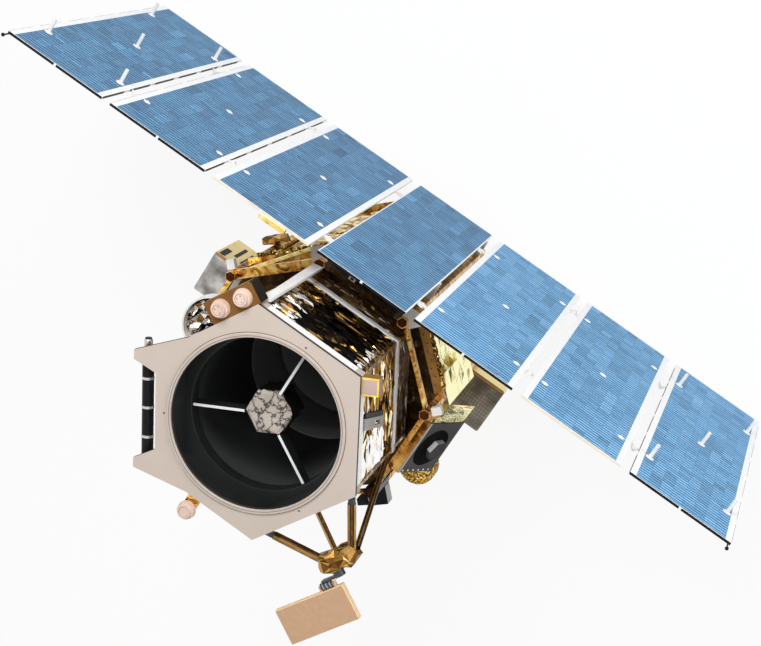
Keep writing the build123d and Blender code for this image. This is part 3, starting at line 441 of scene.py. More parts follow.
corner_film = wrapped_film("corner_film", corner_stops, (1.0, 1.0, 1.0), scale=12.0)
plate_ledge = both(faces(up, 0.9), within(east, 1.05, 0.036))
gun_metal = zoned("gun_metal", gun, [(plate_ledge, orange_stops)], 0.38, 0.1, 5.0, specular=0.04)
standoff_paint = zoned("standoff_paint", two((0.60, 0.55, 0.50), (0.70, 0.65, 0.60)),
                       [(within(east, 0.0, 0.385), dim_stops), (beyond(east, 0.385), white)], 0.5)
bright_film = wrapped_film("bright_film", [(0.3, (0.45, 0.20, 0.03)), (0.45, (0.95, 0.66, 0.16)),
                                           (0.6, (1.0, 0.90, 0.42))], (1.0, 1.0, 2.0), scale=9.0)
lens_stops = [(0.38, (0.12, 0.114, 0.106)), (0.5, (0.34, 0.325, 0.31)), (0.6, (0.62, 0.605, 0.585))]
slot_gold = [(0.30, (0.10, 0.05, 0.01)), (0.37, (0.85, 0.55, 0.14)), (0.58, (1.0, 0.82, 0.36))]
radiator_film = zoned("radiator_film", two((0.10, 0.098, 0.095), (0.17, 0.166, 0.162)),
                      [(faces(up, 0.7), lens_stops), (faces(north, 0.6), slot_gold)], 0.34, 0.8, 3.6)
grid_stops = [(0.34, (0.055, 0.048, 0.034)), (0.5, (0.16, 0.143, 0.106)), (0.64, (0.31, 0.285, 0.225))]
pale_edge = two((0.95, 0.74, 0.26), (1.0, 0.86, 0.42))
grid_film = zoned("grid_film", two((0.16, 0.075, 0.02), (0.26, 0.13, 0.04)),
                  [(faces(up, 0.7), grid_stops), (faces(north, 0.6), pale_edge)], 0.34, 0.8, 3.6)

# %% [markdown]
# ## Solar cells
# Each panel carries a grid of thin covered cells, and the photograph shows rows with small steps in
# brightness. Real tiles are modelled, a millimetre proud, over a darker backing that shows between the rows.
# A value stored on each tile shifts its blue a little, and some tiles in a row share a darker value. The
# values are raised on panels 5 to 7 and lowered on the others: painted light and shade.

# %% Cell glass
cell_glass, tree, shader = start_material("cell_glass", 0.35, 0.0, 0.12)
blues = [(0.0, (0.050, 0.145, 0.27)), (0.45, (0.112, 0.305, 0.53)), (0.7, (0.165, 0.435, 0.74)),
         (1.0, (0.26, 0.56, 0.88))]
tree.links.new(colour_ramp(tree, blues, stored(tree, "cell_tone", "Fac")), shader.inputs["Base Color"])
finger_scale = 70.0
bump(tree, shader, noise(tree, 6.0, 3.0, (0.4, 1.0, finger_scale)), 0.0006, 0.3)
cell_gap_paint = mottled("cell_gap_paint", (0.030, 0.070, 0.13), (0.050, 0.105, 0.18), 0.6, scale=20.0,
                         specular=0.1)


# %% Mesh helpers
def add_piece(bm, name, material, body="bus", smooth=False):
    """Put a bmesh into the scene as a piece, on the body that carries it."""
    mesh = bpy.data.meshes.new(name)
    bm.to_mesh(mesh)
    bm.free()
    if smooth:
        mesh.shade_smooth()
    mesh.materials.append(material)
    piece = bpy.data.objects.new(name, mesh)
    scene.collection.objects.link(piece)
    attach(piece, body)
    return piece


def finish_piece(bm, name, material, body="bus", smooth=False):
    """Turn a bmesh into a piece with outward faces."""
    bmesh.ops.recalc_face_normals(bm, faces=bm.faces)
    return add_piece(bm, name, material, body, smooth)


def turned(place, out, along):
    """Matrix of a small frame: x along, y up, z outwards, at a place."""
    out, along = Vector(out).normalized(), Vector(along).normalized()
    return Matrix.Translation(place) @ Matrix((along, out.cross(along), out)).transposed().to_4x4()


def add_box(bm, low, high, turn=None, soften=0.0):
    """Add a box between two corners, with softened edges, moved by a matrix if one is given."""
    low, high = Vector(low), Vector(high)
    made = bmesh.ops.create_cube(bm, size=1.0)["verts"]
    size = high - low
    for vert in made:
        vert.co = Vector([vert.co[k] * size[k] for k in range(3)]) + (low + high) / 2
    if soften:
        edges = {edge for vert in made for edge in vert.link_edges}
        result = bmesh.ops.bevel(bm, geom=list(edges), offset=soften, segments=2, affect="EDGES", profile=0.5)
        rounded = {vert for face in result["faces"] for vert in face.verts}
        made = list(rounded | {vert for vert in made if vert.is_valid})
    if turn:
        bmesh.ops.transform(bm, matrix=turn, verts=made)


def box_piece(name, boxes, material, body="bus", turn=None, soften=0.001):
    """A piece made of boxes, each given by its low and its high corner."""
    bm = bmesh.new()
    for low, high in boxes:
        add_box(bm, low, high, turn, soften)
    return finish_piece(bm, name, material, body)


def join_rings(bm, near, far):
    """Join two rings of corners by a band of four-cornered faces, and return the faces."""
    corners = zip(near, near[1:] + near[:1], far[1:] + far[:1], far)
    return [bm.faces.new(four) for four in corners]


def add_turned(bm, profile, place, axis, segments=32, closed=False):
    """Turn a profile of (radius, height) points about an axis. A closed profile makes a ring."""
    turn = Vector((0, 0, 1)).rotation_difference(Vector(axis)).to_matrix()
    rings = []
    for radius, height in profile:
        angles = [2 * math.pi * k / segments for k in range(segments)]
        points = [Vector((radius * math.cos(angle), radius * math.sin(angle), height)) for angle in angles]
        rings.append([bm.verts.new(turn @ point + Vector(place)) for point in points])
    for near, far in zip(rings, rings[1:] + rings[:1] if closed else rings[1:]):
        join_rings(bm, near, far)
    if not closed:
        bm.faces.new(rings[-1])
        bm.faces.new(list(reversed(rings[0])))


def add_disc(bm, place, normal, radius, thick, segments=24, dome=0.0):
    """Add a short round plug that stands on a surface, its rim softened."""
    profile = [(radius, 0.0), (radius, thick * 0.7), (radius * 0.93, thick), (radius * 0.5, thick + dome)]
    add_turned(bm, profile, place, normal, segments)


def add_ring(bm, place, axis, inner, outer, width):
    """Add a flat ring or band of the given width, its outer edges softened."""
    soft = min(width, outer - inner) * 0.2
    profile = [(inner, -width / 2), (outer - soft, -width / 2), (outer, soft - width / 2),
               (outer, width / 2 - soft), (outer - soft, width / 2), (inner, width / 2)]
    add_turned(bm, profile, place, axis, 96 if outer > 0.3 else 28, True)


def side_axes(angle):
    """Directions outwards from and along the side that faces the given angle."""
    turn = math.radians(angle)
    return Vector((math.cos(turn), math.sin(turn), 0)), Vector((-math.sin(turn), math.cos(turn), 0))


def place_on(angle, along, out, height):
    """Point given along a side, outwards from the axis, and up."""
    outward, run = side_axes(angle)
    return outward * out + run * along + Vector((0, 0, height))


# %% Solar array
wing_bodies = {1: "wing_left_outer", 2: "wing_left_middle", 3: "wing_left_inner", 4: "bus",
               5: "wing_right_inner", 6: "wing_right_middle", 7: "wing_right_outer"}
columns, rows = 8, 62
column_gap, row_gap = 0.0005, 0.019
cell_lift = 0.0012
cell_backing = 0.0006
wide_margin, thin_margin, end_margin = 0.055, 0.010, 0.012
run_lengths = (1, 1, 2, 2, 3, 5)
panels_painted_lighter = (5, 6, 7)


def cell_area(number):
    """Corners of the cell field on a panel: x and z of its low and high end."""
    low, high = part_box(f"panel_{number}")
    margin = thin_margin if number == 4 else wide_margin
    return low[0] + margin, high[0] - margin, low[2] + end_margin, high[2] - end_margin, high[1]


def add_tile(bm, layer, corners, face, tone):
    """Add one bevelled tile with its tone."""
    left, low, right, high = corners
    outer = [(left, low), (right, low), (right, high), (left, high)]
    inner = [(left + cell_lift, low + cell_lift), (right - cell_lift, low + cell_lift),
             (right - cell_lift, high - cell_lift), (left + cell_lift, high - cell_lift)]
    lower = [bm.verts.new((x, face + cell_backing, z)) for x, z in outer]
    upper = [bm.verts.new((x, face + cell_backing + cell_lift, z)) for x, z in inner]
    for tile_face in [bm.faces.new(upper)] + join_rings(bm, lower, upper):
        tile_face[layer] = min(1.0, max(0.0, tone))


def solar_cells(number):
    """Tiles of one panel, each with its own tone, on a thin backing sheet."""
    chance = random.Random(100 + number)
    x0, x1, z0, z1, face = cell_area(number)
    bm = bmesh.new()
    layer = bm.faces.layers.float.new("cell_tone")
    wide, tall = (x1 - x0) / columns, (z1 - z0) / rows
    # Panels 5 to 7 get lighter cells and the others darker ones: painted light and shade.
    lift = 0.17 if number in panels_painted_lighter else -0.17
    for column in range(columns):
        shift = chance.uniform(-0.03, 0.03)
        run, tone = 0, 0.5
        for row in range(rows):
            if run <= 0:
                run = chance.choice(run_lengths)
                tone = 0.50 + shift + lift + chance.gauss(0.0, 0.09)
            run -= 1
            left = x0 + column * wide + column_gap / 2
            low = z0 + row * tall + row_gap / 2
            corners = left, low, left + wide - column_gap, low + tall - row_gap
            add_tile(bm, layer, corners, face, tone + chance.gauss(0.0, 0.05))
    body = wing_bodies[number]
    finish_piece(bm, f"cells_{number}", cell_glass, body)
    box_piece(f"cell_backing_{number}", [((x0, face, z0), (x1, face + cell_backing, z1))], cell_gap_paint,
              body, soften=0.0)


for number in wing_bodies:
    solar_cells(number)
print("solar cells", len(wing_bodies) * columns * rows)

# %% [markdown]
# The panels are painted white on the cell side and show dark carbon on their backs. Most of them have a
# black tape along the edge that faces up, two have a cream one, and lozenges mark where the posts of a
# folded panel rest. Broken black lines run down the edges along the gaps.

# %% Panel edges and pads
carbon = two((0.012, 0.012, 0.013), (0.024, 0.024, 0.025))
panel_white = two((0.82, 0.83, 0.84), (0.88, 0.885, 0.89))
panel_paint = zoned("panel_paint", carbon, [(faces(north, -0.5), panel_white)], 0.5, scale=30.0)
pad_white = mottled("pad_white", (0.84, 0.83, 0.81), (0.90, 0.89, 0.88), 0.4, scale=15.0)
cream_edged, line_edged, padded = (3, 6), (1, 2, 7), (2, 3, 5, 6)
edge_lift = 0.003
pad_places = [(0, 0), (-0.378, -1.115), (0.378, -1.115), (-0.378, 1.115), (0.378, 1.115)]
pad_long, pad_short, pad_thick = 0.036, 0.030, 0.008
dash, dash_gap = 0.42, 0.13
break_half = 0.012


def add_lozenge(bm, spot):
    """Add one four-cornered pad with sloping sides."""
    tips = ((-pad_long, 0), (0, -pad_short), (pad_long, 0), (0, pad_short))
    base, top = ([bm.verts.new(spot + Vector((x * share, lift, z * share))) for x, z in tips]
                 for share, lift in ((1.0, 0.0), (0.8, pad_thick)))
    bm.faces.new(top)
    join_rings(bm, base, top)


for number, body in wing_bodies.items():
    panel = nodes[f"panel_{number}"].data.materials
    panel.clear()
    panel.append(panel_paint)
    low, high = (Vector(corner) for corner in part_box(f"panel_{number}"))
    middle = (low + high) / 2
    halves = ((low.x, middle.x - break_half), (middle.x + break_half, high.x))
    strips = [((start, low.y, high.z), (end, high.y, high.z + edge_lift)) for start, end in halves]
    tape = cream_paint if number in cream_edged else satin_black
    box_piece(f"edge_tape_{number}", strips, tape, body)
    if number in line_edged:
        dashes = []
        for edge, way in ((low.x, -1), (high.x, 1)):
            height = low.z + dash_gap
            while height + dash < high.z:
                near, far = sorted((edge, edge + way * edge_lift))
                dashes.append(((near, low.y, height), (far, high.y, height + dash)))
                height += dash + dash_gap
        box_piece(f"gap_line_{number}", dashes, satin_black, body)
    if number in padded:
        bm = bmesh.new()
        for x, z in pad_places:
            add_lozenge(bm, Vector((middle.x + x, high.y + cell_backing + cell_lift, middle.z + z)))
        finish_piece(bm, f"rest_pads_{number}", pad_white, body)
print("panels dressed", len(wing_bodies))

# %% [markdown]
# ## Creased foil
# Crumpled film is a set of flat facets that meet at sharp creases. Scattered points with chance heights,
# joined by Delaunay triangles, give just that, and flat shading keeps each facet's own glint. Stretching
# the plane before it is joined makes long folds. A rule gives each facet its tone by its place on the sheet;
# these tones are painted reflections, from dark facets to bright glints.

# %% Foil sheets
def facet_values(bm, tones):
    """Store a tone for each facet, which is a painted reflection, and each corner's share of it, from which
    creases are drawn.
    """
    tone = bm.faces.layers.float.new("facet_reflection_tone")
    edge = bm.loops.layers.float_vector.new("facet_edge")
    for face, value in zip(bm.faces, tones):
        face[tone] = value
        for k, loop in enumerate(face.loops):
            loop[edge] = [1.0 if k == place else 0.0 for place in range(3)]


def any_tone(favour):
    """Rule that draws tones at chance; a larger favour gives more dark ones."""
    return lambda u, v, chance: chance.random() ** favour


def foil_sheet(name, corner, across, rise, seed, facet, depth, material, stretch=1.0,
               rule=any_tone(1.0), keep=lambda u, v: True):
    """A creased sheet over a rectangle: flat at its border, in chance folds inside."""
    chance = random.Random(seed)
    corner, across, rise = Vector(corner), Vector(across), Vector(rise)
    wide, tall = across.length, rise.length
    normal = across.cross(rise).normalized()
    count = int(wide * tall / (facet * facet))
    border = max(2, int(wide * stretch / facet)), max(2, int(tall / facet))
    points = [(0, 0), (wide, 0), (wide, tall), (0, tall)]
    points += [(wide * k / border[0], edge) for k in range(1, border[0]) for edge in (0.0, tall)]
    points += [(edge, tall * k / border[1]) for k in range(1, border[1]) for edge in (0.0, wide)]
    held = len(points)
    points += [(chance.uniform(0.02, 0.98) * wide, chance.uniform(0.02, 0.98) * tall) for _ in range(count)]
    flat = [Vector((x * stretch, y)) for x, y in points]
    made, _, joined, *_ = delaunay_2d_cdt(flat, [], [], 0, 1e-5)
    bm = bmesh.new()
    verts, tones = [], []
    for index, point in enumerate(made):
        lift = 0.15 * depth if index < held else depth * chance.random() ** 1.5
        place = corner + across * (point.x / stretch / wide) + rise * (point.y / tall)
        verts.append(bm.verts.new(place + normal * lift))
    for face in joined:
        middle = sum((made[k] for k in face), Vector((0, 0))) / len(face)
        u, v = middle.x / stretch / wide, middle.y / tall
        if keep(u, v):
            bm.faces.new([verts[k] for k in face])
            tones.append(rule(u, v, chance))
    for face in bm.faces:
        face.normal_update()
        if face.normal.dot(normal) < 0:
            face.normal_flip()
    facet_values(bm, tones)
    bmesh.ops.delete(bm, geom=[vert for vert in bm.verts if not vert.link_faces], context="VERTS")
    cut = sum(face.calc_area() for face in bm.faces)
    piece = add_piece(bm, name, material)
    return piece


def foil_wrap(name, node, seed, facet, depth, material, favour=1.0):
    """A creased copy of a solid's skin, which then stands for that solid."""
    chance = random.Random(seed)
    bm = bmesh.new()
    bm.from_mesh(nodes[node].data)
    bmesh.ops.remove_doubles(bm, verts=bm.verts, dist=0.0005)
    bmesh.ops.dissolve_limit(bm, angle_limit=math.radians(4), verts=bm.verts, edges=bm.edges)
    bmesh.ops.triangulate(bm, faces=bm.faces)
    for _ in range(7):
        long_edges = [edge for edge in bm.edges if edge.calc_length() > facet]
        if not long_edges:
            break
        bmesh.ops.subdivide_edges(bm, edges=long_edges, cuts=1)
        bmesh.ops.triangulate(bm, faces=bm.faces)
    bm.normal_update()
    moves = []
    for vert in bm.verts:
        sideways = Vector([chance.uniform(-0.25, 0.25) * facet for _ in range(3)])
        sideways -= vert.normal * sideways.dot(vert.normal)
        moves.append(vert.normal * depth * (chance.random() - 0.35) + sideways * 0.8)
    for vert, move in zip(bm.verts, moves):
        vert.co += move
    facet_values(bm, [chance.random() ** favour for _ in bm.faces])
    piece = add_piece(bm, name, material)
    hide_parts(node)


# %% [markdown]
# The upper blanket on the array's side is black towards the front, with painted gold glints towards the
# middle frame and painted silver reflections at both ends. The next one is streaked, with a painted white
# highlight at its lower front end. Those on the sides that the photograph doesn't show take the same films
# at chance.

# %% Blankets round the barrel
silver_reflection_tones = (0.99, 0.99, 0.97, 0.2, 0.4, 0.88)
gold_glint_tones = (0.1, 0.3, 0.45, 0.62, 0.72, 0.84, 0.90)


def north_rule(u, v, chance):
    """Tones of the blanket on the array's side: painted silver reflections at its ends, painted gold glints
    towards the middle frame.
    """
    reflecting_ends = (u > 0.70 + 0.14 * chance.random() and v > 0.30) or (u < 0.07 and v > 0.40)
    if reflecting_ends:
        return chance.choice(silver_reflection_tones)
    if v > 0.34 + 0.14 * chance.random():
        return 0.86 if chance.random() < 0.05 else chance.uniform(0.05, 0.45)
    return chance.choice(gold_glint_tones)


def streak_rule(u, v, chance):
    """Tones of the streaked blanket, painted reflections: a painted white highlight at its lower front end,
    brighter gold at the other.
    """
    if u < 0.42 - 0.1 * chance.random() and v > 0.25 + 0.3 * u:
        return 0.3 if chance.random() < 0.06 else 1.0
    if v > 0.80 and chance.random() < 0.4:
        return 1.0
    return min(0.92, chance.random() ** 1.1 + 0.15 * (u > 0.7))


def dim_rule(u, v, chance):
    """Tones of a dark blanket with a few painted glints."""
    return 1.0 if chance.random() < 0.05 else 0.9 * chance.random()


barrel_low, barrel_high = (Vector(corner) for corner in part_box("barrel"))
barrel_apothem = barrel_high.y
side_length = barrel_high.x
beam_width = 0.024
blanket_width = side_length - 2 * beam_width
front_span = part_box("front_frame")[0][2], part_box("front_frame")[1][2]
mid_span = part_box("mid_frame")[0][2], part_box("mid_frame")[1][2]
upper_span, lower_span = (mid_span[1], front_span[0]), (barrel_low.z, mid_span[0])
hex_sides = (30, 90, 150, 210, 270, 330)
blanket_pieces = []
for order, angle in enumerate(hex_sides):
    outward, along = side_axes(angle)
    for span_name, (low, high) in (("upper", upper_span), ("lower", lower_span)):
        start = outward * (barrel_apothem + 0.003) - along * blanket_width / 2 + Vector((0, 0, low))
        streaky = angle in (30, 330)
        film, rule = (streak_foil, streak_rule) if streaky else (dark_foil, north_rule)
        if span_name == "lower":
            film, rule = smoke_foil, dim_rule
        blanket_pieces.append(foil_sheet(
            f"blanket_{span_name}_{order}", start, along * blanket_width, Vector((0, 0, high - low)),
            40 + 10 * order + len(blanket_pieces), 0.034, 0.024, film,
            0.13 if streaky else 0.2, rule))
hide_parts("blankets")
print("blankets", len(blanket_pieces))

# %% Blankets of the bus
panel_foot, panel_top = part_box("bus_side_panels")[0][2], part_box("bus_side_panels")[1][2]
half_x, half_y = 1.0, 0.98
flat_x, flat_y = 0.42, 0.43
longeron_radius = 0.05
octagon = [(half_x, flat_y), (flat_x, half_y), (-flat_x, half_y), (-half_x, flat_y),
           (-half_x, -flat_y), (-flat_x, -half_y), (flat_x, -half_y), (half_x, -flat_y)]
film_gap = 0.030
for number, (x, y) in enumerate(octagon):
    start, end = Vector((x, y, panel_foot)), Vector((*octagon[(number + 1) % 8], panel_foot))
    run = (end - start).normalized()
    outward = Vector((run.y, -run.x, 0))
    first = start + run * longeron_radius - outward * film_gap
    across = run * ((end - start).length - 2 * longeron_radius)
    film = pale_foil if number == 0 else gold_foil
    foil_sheet(
        f"bus_blanket_{number}", first, across, Vector((0, 0, panel_top - panel_foot)), 300 + number,
        0.10 if number == 0 else 0.060, 0.024, film, 1.0, any_tone(0.5 if number == 0 else 0.7))
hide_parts("bus_corner_panels")
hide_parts("bus_side_panels")

corner_side, corner_out = 46.5, 1.055
corner_run = side_axes(corner_side)[1]
foil_sheet("corner_blanket", place_on(corner_side, -0.52, corner_out, 1.60), corner_run * 0.27,
           (0.0, 0.0, 0.97), 320, 0.10, 0.016, pale_foil, 1.0, any_tone(0.5))
foil_sheet("plate_end_blanket", (1.280, 0.355, 2.080), (-0.280, 0.0, 0.500), (0.0, 0.0, 0.550), 321,
           0.09, 0.014, pale_foil, 1.0, any_tone(0.5))

# %% Foil on the small solids
foil_wrap("housing_foil", "secondary_housing", 7, 0.095, 0.004, cream_film, 0.5)
foil_wrap("apex_foil", "apex_block", 8, 0.120, 0.030, bronze_foil, 0.9)
foil_wrap("drum_foil", "gold_drum", 9, 0.030, 0.010, gold_foil, 0.9)
foil_wrap("restraint_foil", "restraint_box", 11, 0.090, 0.004, bronze_foil, 1.2)

# %% [markdown]
# ## Film on the struts
# Each strut is wound with film, so its streaks run lengthwise. A tube of narrow strips follows each strut,
# and every strip has its own tone, a painted reflection, that changes a little on the way.

# %% Struts
strut_stops = [(0.0, (0.02, 0.010, 0.003)), (0.3, (0.10, 0.05, 0.013)), (0.6, (0.30, 0.16, 0.042)),
               (0.85, (0.48, 0.28, 0.085)), (1.0, (0.72, 0.48, 0.18))]
strut_film = foil("strut_film", strut_stops, (0.10, 0.05, 0.013), 0.0, 0.36, 0.85, 0.25, 0.9)
hex_apothem = 0.966 * math.sqrt(3) / 2
frame_face = 0.958 * math.sqrt(3) / 2
antenna_side = -30.0
apex_height, apex_out, apex_middle = 4.13, hex_apothem + 0.44, 0.045
strut_rows = [(-0.387, 4.1995, -0.100, 0.034), (-0.387, 3.130, 0.0, 0.024),
              (0.422, 4.1995, 0.120, 0.034), (0.422, 3.130, 0.160, 0.024)]
fitting_length, strut_inset = 0.075, 0.10
film_thick = 0.0012


def add_strips(bm, start, end, radius, chance, tones, around=18, lengths=9):
    """Add a tube of lengthwise strips and write down a tone for each of its facets."""
    axis = (end - start).normalized()
    first = axis.orthogonal().normalized()
    second = axis.cross(first)
    strip_tones = [chance.random() for _ in range(around)]
    rings = []
    for step in range(lengths + 1):
        centre = start.lerp(end, step / lengths)
        ring = []
        for k in range(around):
            angle = 2 * math.pi * k / around
            swell = radius * (1 + chance.uniform(-0.03, 0.02))
            ring.append(bm.verts.new(centre + (first * math.cos(angle) + second * math.sin(angle)) * swell))
        rings.append(ring)
    for near, far in zip(rings, rings[1:]):
        join_rings(bm, near, far)
        tones += [min(1.0, max(0.0, tone + chance.uniform(-0.12, 0.12))) for tone in strip_tones]


bm = bmesh.new()
tones = []
chance = random.Random(21)
for root_along, height, tip_along, radius in strut_rows:
    root = place_on(antenna_side, root_along, frame_face, height)
    tip = place_on(antenna_side, apex_middle + tip_along, apex_out, apex_height)
    axis = (tip - root).normalized()
    add_strips(bm, root + axis * fitting_length, tip - axis * 0.04, radius + film_thick, chance, tones)
facet_values(bm, tones)
strut_piece = finish_piece(bm, "strut_wraps", strut_film, smooth=True)
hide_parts("antenna_struts")
print("strut strips", len(tones))

# %% [markdown]
# ## Small things on the telescope
# Dark rings and discs that are painted shade of the grooves beside the aperture's lip and of screw holes, a
# rib deep in the tube, caps on the frames' ends, clamps of the torque rod, the horns' faces, three dark dots
# on each of the twin horns as painted shade of their small holes, and the pale face of the patch antenna.

# %% Details of the telescope
plate_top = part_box("front_plate")[1][2]
lip_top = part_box("aperture_lip")[1][2]
groove_thick = 0.0024
screw_holes = [(0.010, 0.772), (-0.658, -0.385), (0.665, -0.384)]
# Thin dark rings and discs stand for the grooves and screw holes: painted shade.
bm = bmesh.new()
add_ring(bm, (0, 0, lip_top), up, 0.7150, 0.7185, groove_thick)
add_ring(bm, (0, 0, plate_top), up, 0.7386, 0.7435, groove_thick)
for x, y in screw_holes:
    add_disc(bm, (x, y, plate_top - 0.001), up, 0.009, 0.002)
finish_piece(bm, "plate_groove_shade", groove_shade_paint)

tube_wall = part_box("telescope_tube")[1][0] - 0.012
bm = bmesh.new()
add_ring(bm, (0, 0, rib_height), up, 0.662, tube_wall + 0.001, 0.012)
finish_piece(bm, "bore_rib", white_paint)

cap_long, cap_thick = 0.055, 0.006
cap_end = frame_face / math.sqrt(3) - cap_long / 2 - 0.004
bm = bmesh.new()
for angle in hex_sides:
    outward, along = side_axes(angle)
    for low, high in (front_span, mid_span):
        for way in (-1, 1):
            centre = place_on(angle, way * cap_end, frame_face, (low + high) / 2)
            reach = (high - low) * 0.36
            add_box(bm, (-cap_long / 2, -reach, -0.001), (cap_long / 2, reach, cap_thick),
                    turned(centre, outward, along), 0.0015)
finish_piece(bm, "frame_caps", cap_paint)

rod_side, rod_out, rod_height, rod_radius = 210.0, hex_apothem + 0.105, 4.198, 0.048
rod_axis = side_axes(rod_side)[1]
bm = bmesh.new()
for along, width in ((-0.24, 0.022), (0.0, 0.022), (0.245, 0.022), (-0.448, 0.030), (0.452, 0.014)):
    spot = place_on(rod_side, along, rod_out, rod_height)
    add_ring(bm, spot, rod_axis, rod_radius - 0.002, rod_radius + 0.003, width)
add_turned(bm, [(0.030, -0.045), (0.034, -0.035), (0.034, 0.035), (0.030, 0.045)],
           place_on(rod_side, -0.515, rod_out, rod_height), rod_axis)
finish_piece(bm, "rod_bands", silver_metal)

horn_side, horn_along, horn_spacing = 150.0, -0.290, 0.207
horn_out = hex_apothem + 0.095
twin_horns = [place_on(horn_side, horn_along + way * horn_spacing / 2, horn_out, plate_top)
              for way in (-1, 1)]
lower_horn = place_on(-90.0, -0.093, hex_apothem + 0.145, plate_top - 0.040)
plug_low, plug_high, plug_radius, dot_ring = 0.053, 0.066, 0.0425, 0.027
face_bm, dot_bm = bmesh.new(), bmesh.new()
for spot in twin_horns + [lower_horn]:
    add_disc(face_bm, spot + Vector((0, 0, plug_low)), up, plug_radius, plug_high - plug_low, 36)
# Three dark dots on each twin horn are painted shade of small holes.
for spot in twin_horns:
    for angle in (120, 200, 335):
        outward = side_axes(angle)[0]
        add_disc(dot_bm, spot + outward * dot_ring + Vector((0, 0, plug_high - 0.001)), up, 0.0045, 0.002)
finish_piece(face_bm, "horn_faces", horn_peach)
finish_piece(dot_bm, "horn_dots", dark_grey)

patch_side = 30.0
patch_outward, patch_along = side_axes(patch_side)
patch_centre = place_on(patch_side, 0.400, frame_face + 0.0735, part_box("patch_antenna")[1][2])
patch_half = 0.057
box_piece("patch_plate", [((-patch_half, -patch_half, -0.001), (patch_half, patch_half, 0.004))], patch_face,
          turn=turned(patch_centre, up, patch_along), soften=0.0015)

latch_centre = place_on(patch_side, 0.046, frame_face, front_span[0] - 0.03)
latch_turn = turned(latch_centre, patch_outward, patch_along * 0.975 - Vector(up) * 0.222)
latch_bars = [((-0.046, -0.55, -0.006), (-0.016, 0.01, 0.014)),
              ((0.016, -0.55, -0.006), (0.046, 0.01, 0.014)),
              ((-0.016, -0.28, -0.006), (0.016, 0.01, 0.012)),
              ((-0.016, -0.55, -0.006), (0.016, -0.46, 0.012))]
# The black box beside the bracket is painted shade.
latch_shade_boxes = [((0.046, -0.54, -0.006), (0.088, 0.0, 0.008))]
box_piece("latch_bracket", latch_bars, pale_grey, turn=latch_turn, soften=0.002)
box_piece("latch_shade", latch_shade_boxes, satin_black, turn=latch_turn, soften=0.002)

drum_spot = place_on(horn_side, 0.100, barrel_apothem + 0.012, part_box("side_drum")[0][2] + 0.026)
drum_outward, drum_along = side_axes(horn_side)
lining_radius = 0.228
lining_brown, lining_pale = (0.3, 0.6, 0.72, 0.78), (0.99, 0.97, 0.97, 0.8, 0.5)


def lining_rule(u, v, chance):
    """Painted reflections: dark brown towards the horns, pale and grey towards the other end."""
    return chance.choice(lining_brown if u > 0.52 else lining_pale)


foil_sheet("drum_lining", drum_spot + drum_along * lining_radius, -drum_along * 2 * lining_radius,
           drum_outward * lining_radius, 61, 0.030, 0.035, dark_foil, 0.5, lining_rule,
           lambda u, v: (2 * u - 1) ** 2 + v * v < 1.0)

# %% [markdown]
# ## Small things on the bus
# Dark plugs sit in the longerons' open ends: their brown insides with painted shade of the hollow. A tan
# strip with screws and a crumpled bead follow the deck's edge, and the sloping plate carries rivets, an edge
# strip and the sensor on its black ring.

# %% Details of the deck and the sloping plate
longeron_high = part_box("bus_frame")[1][2]
bm = bmesh.new()
for x, y in octagon:
    add_turned(bm, [(0.0425, -0.020), (0.0425, -0.006), (0.030, -0.004)], (x, y, longeron_high), up, 6)
finish_piece(bm, "longeron_plugs", longeron_hollow_shade)

deck_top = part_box("top_deck")[1][2]
right_side, right_distance = 46.5, 1.0002
bm = bmesh.new()
for k in range(9):
    out = right_distance + (0.030 if k % 2 else 0.010)
    add_disc(bm, place_on(right_side, -0.30 + 0.075 * k, out, deck_top - 0.001), up, 0.0075, 0.004)
finish_piece(bm, "deck_screws", dark_grey)

chance = random.Random(33)
for name, angle in (("deck_bead_right", right_side), ("deck_bead_left", 180.0 - right_side)):
    bm = bmesh.new()
    tones = []
    start, end = (place_on(angle, along, right_distance + 0.070, deck_top - 0.022) for along in (-0.34, 0.34))
    add_strips(bm, start, end, 0.024, chance, tones, 10, 44)
    for vert in bm.verts:
        vert.co += Vector([chance.uniform(-0.006, 0.006) for _ in range(3)])
    facet_values(bm, [chance.random() for _ in tones])
    finish_piece(bm, name, gold_foil)

wedge_low, wedge_high = (Vector(corner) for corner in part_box("wedge_housing"))
ridge = Vector((1.082, 0.0, wedge_high.z))
edge = Vector((wedge_high.x, 0.0, wedge_low.z + 0.060))
slope_run = (edge - ridge).normalized()
slope_out = Vector((-slope_run.z, 0.0, slope_run.x))
bm = bmesh.new()
for k in range(6):
    spot = ridge.lerp(edge, 0.12 + 0.76 * k / 5) + Vector((0.0, wedge_low.y + 0.022, 0.0))
    add_disc(bm, spot, slope_out, 0.010, 0.004, dome=0.002)
finish_piece(bm, "plate_rivets", white_paint)
strip_centre = ridge + Vector((0, (wedge_low.y + wedge_high.y) / 2, 0)) + slope_run * 0.016
half_run = (wedge_high.y - wedge_low.y) / 2
box_piece("plate_edge_strip", [((-half_run, -0.014, -0.001), (half_run, 0.014, 0.004))], pale_grey,
          turn=turned(strip_centre, slope_out, north))

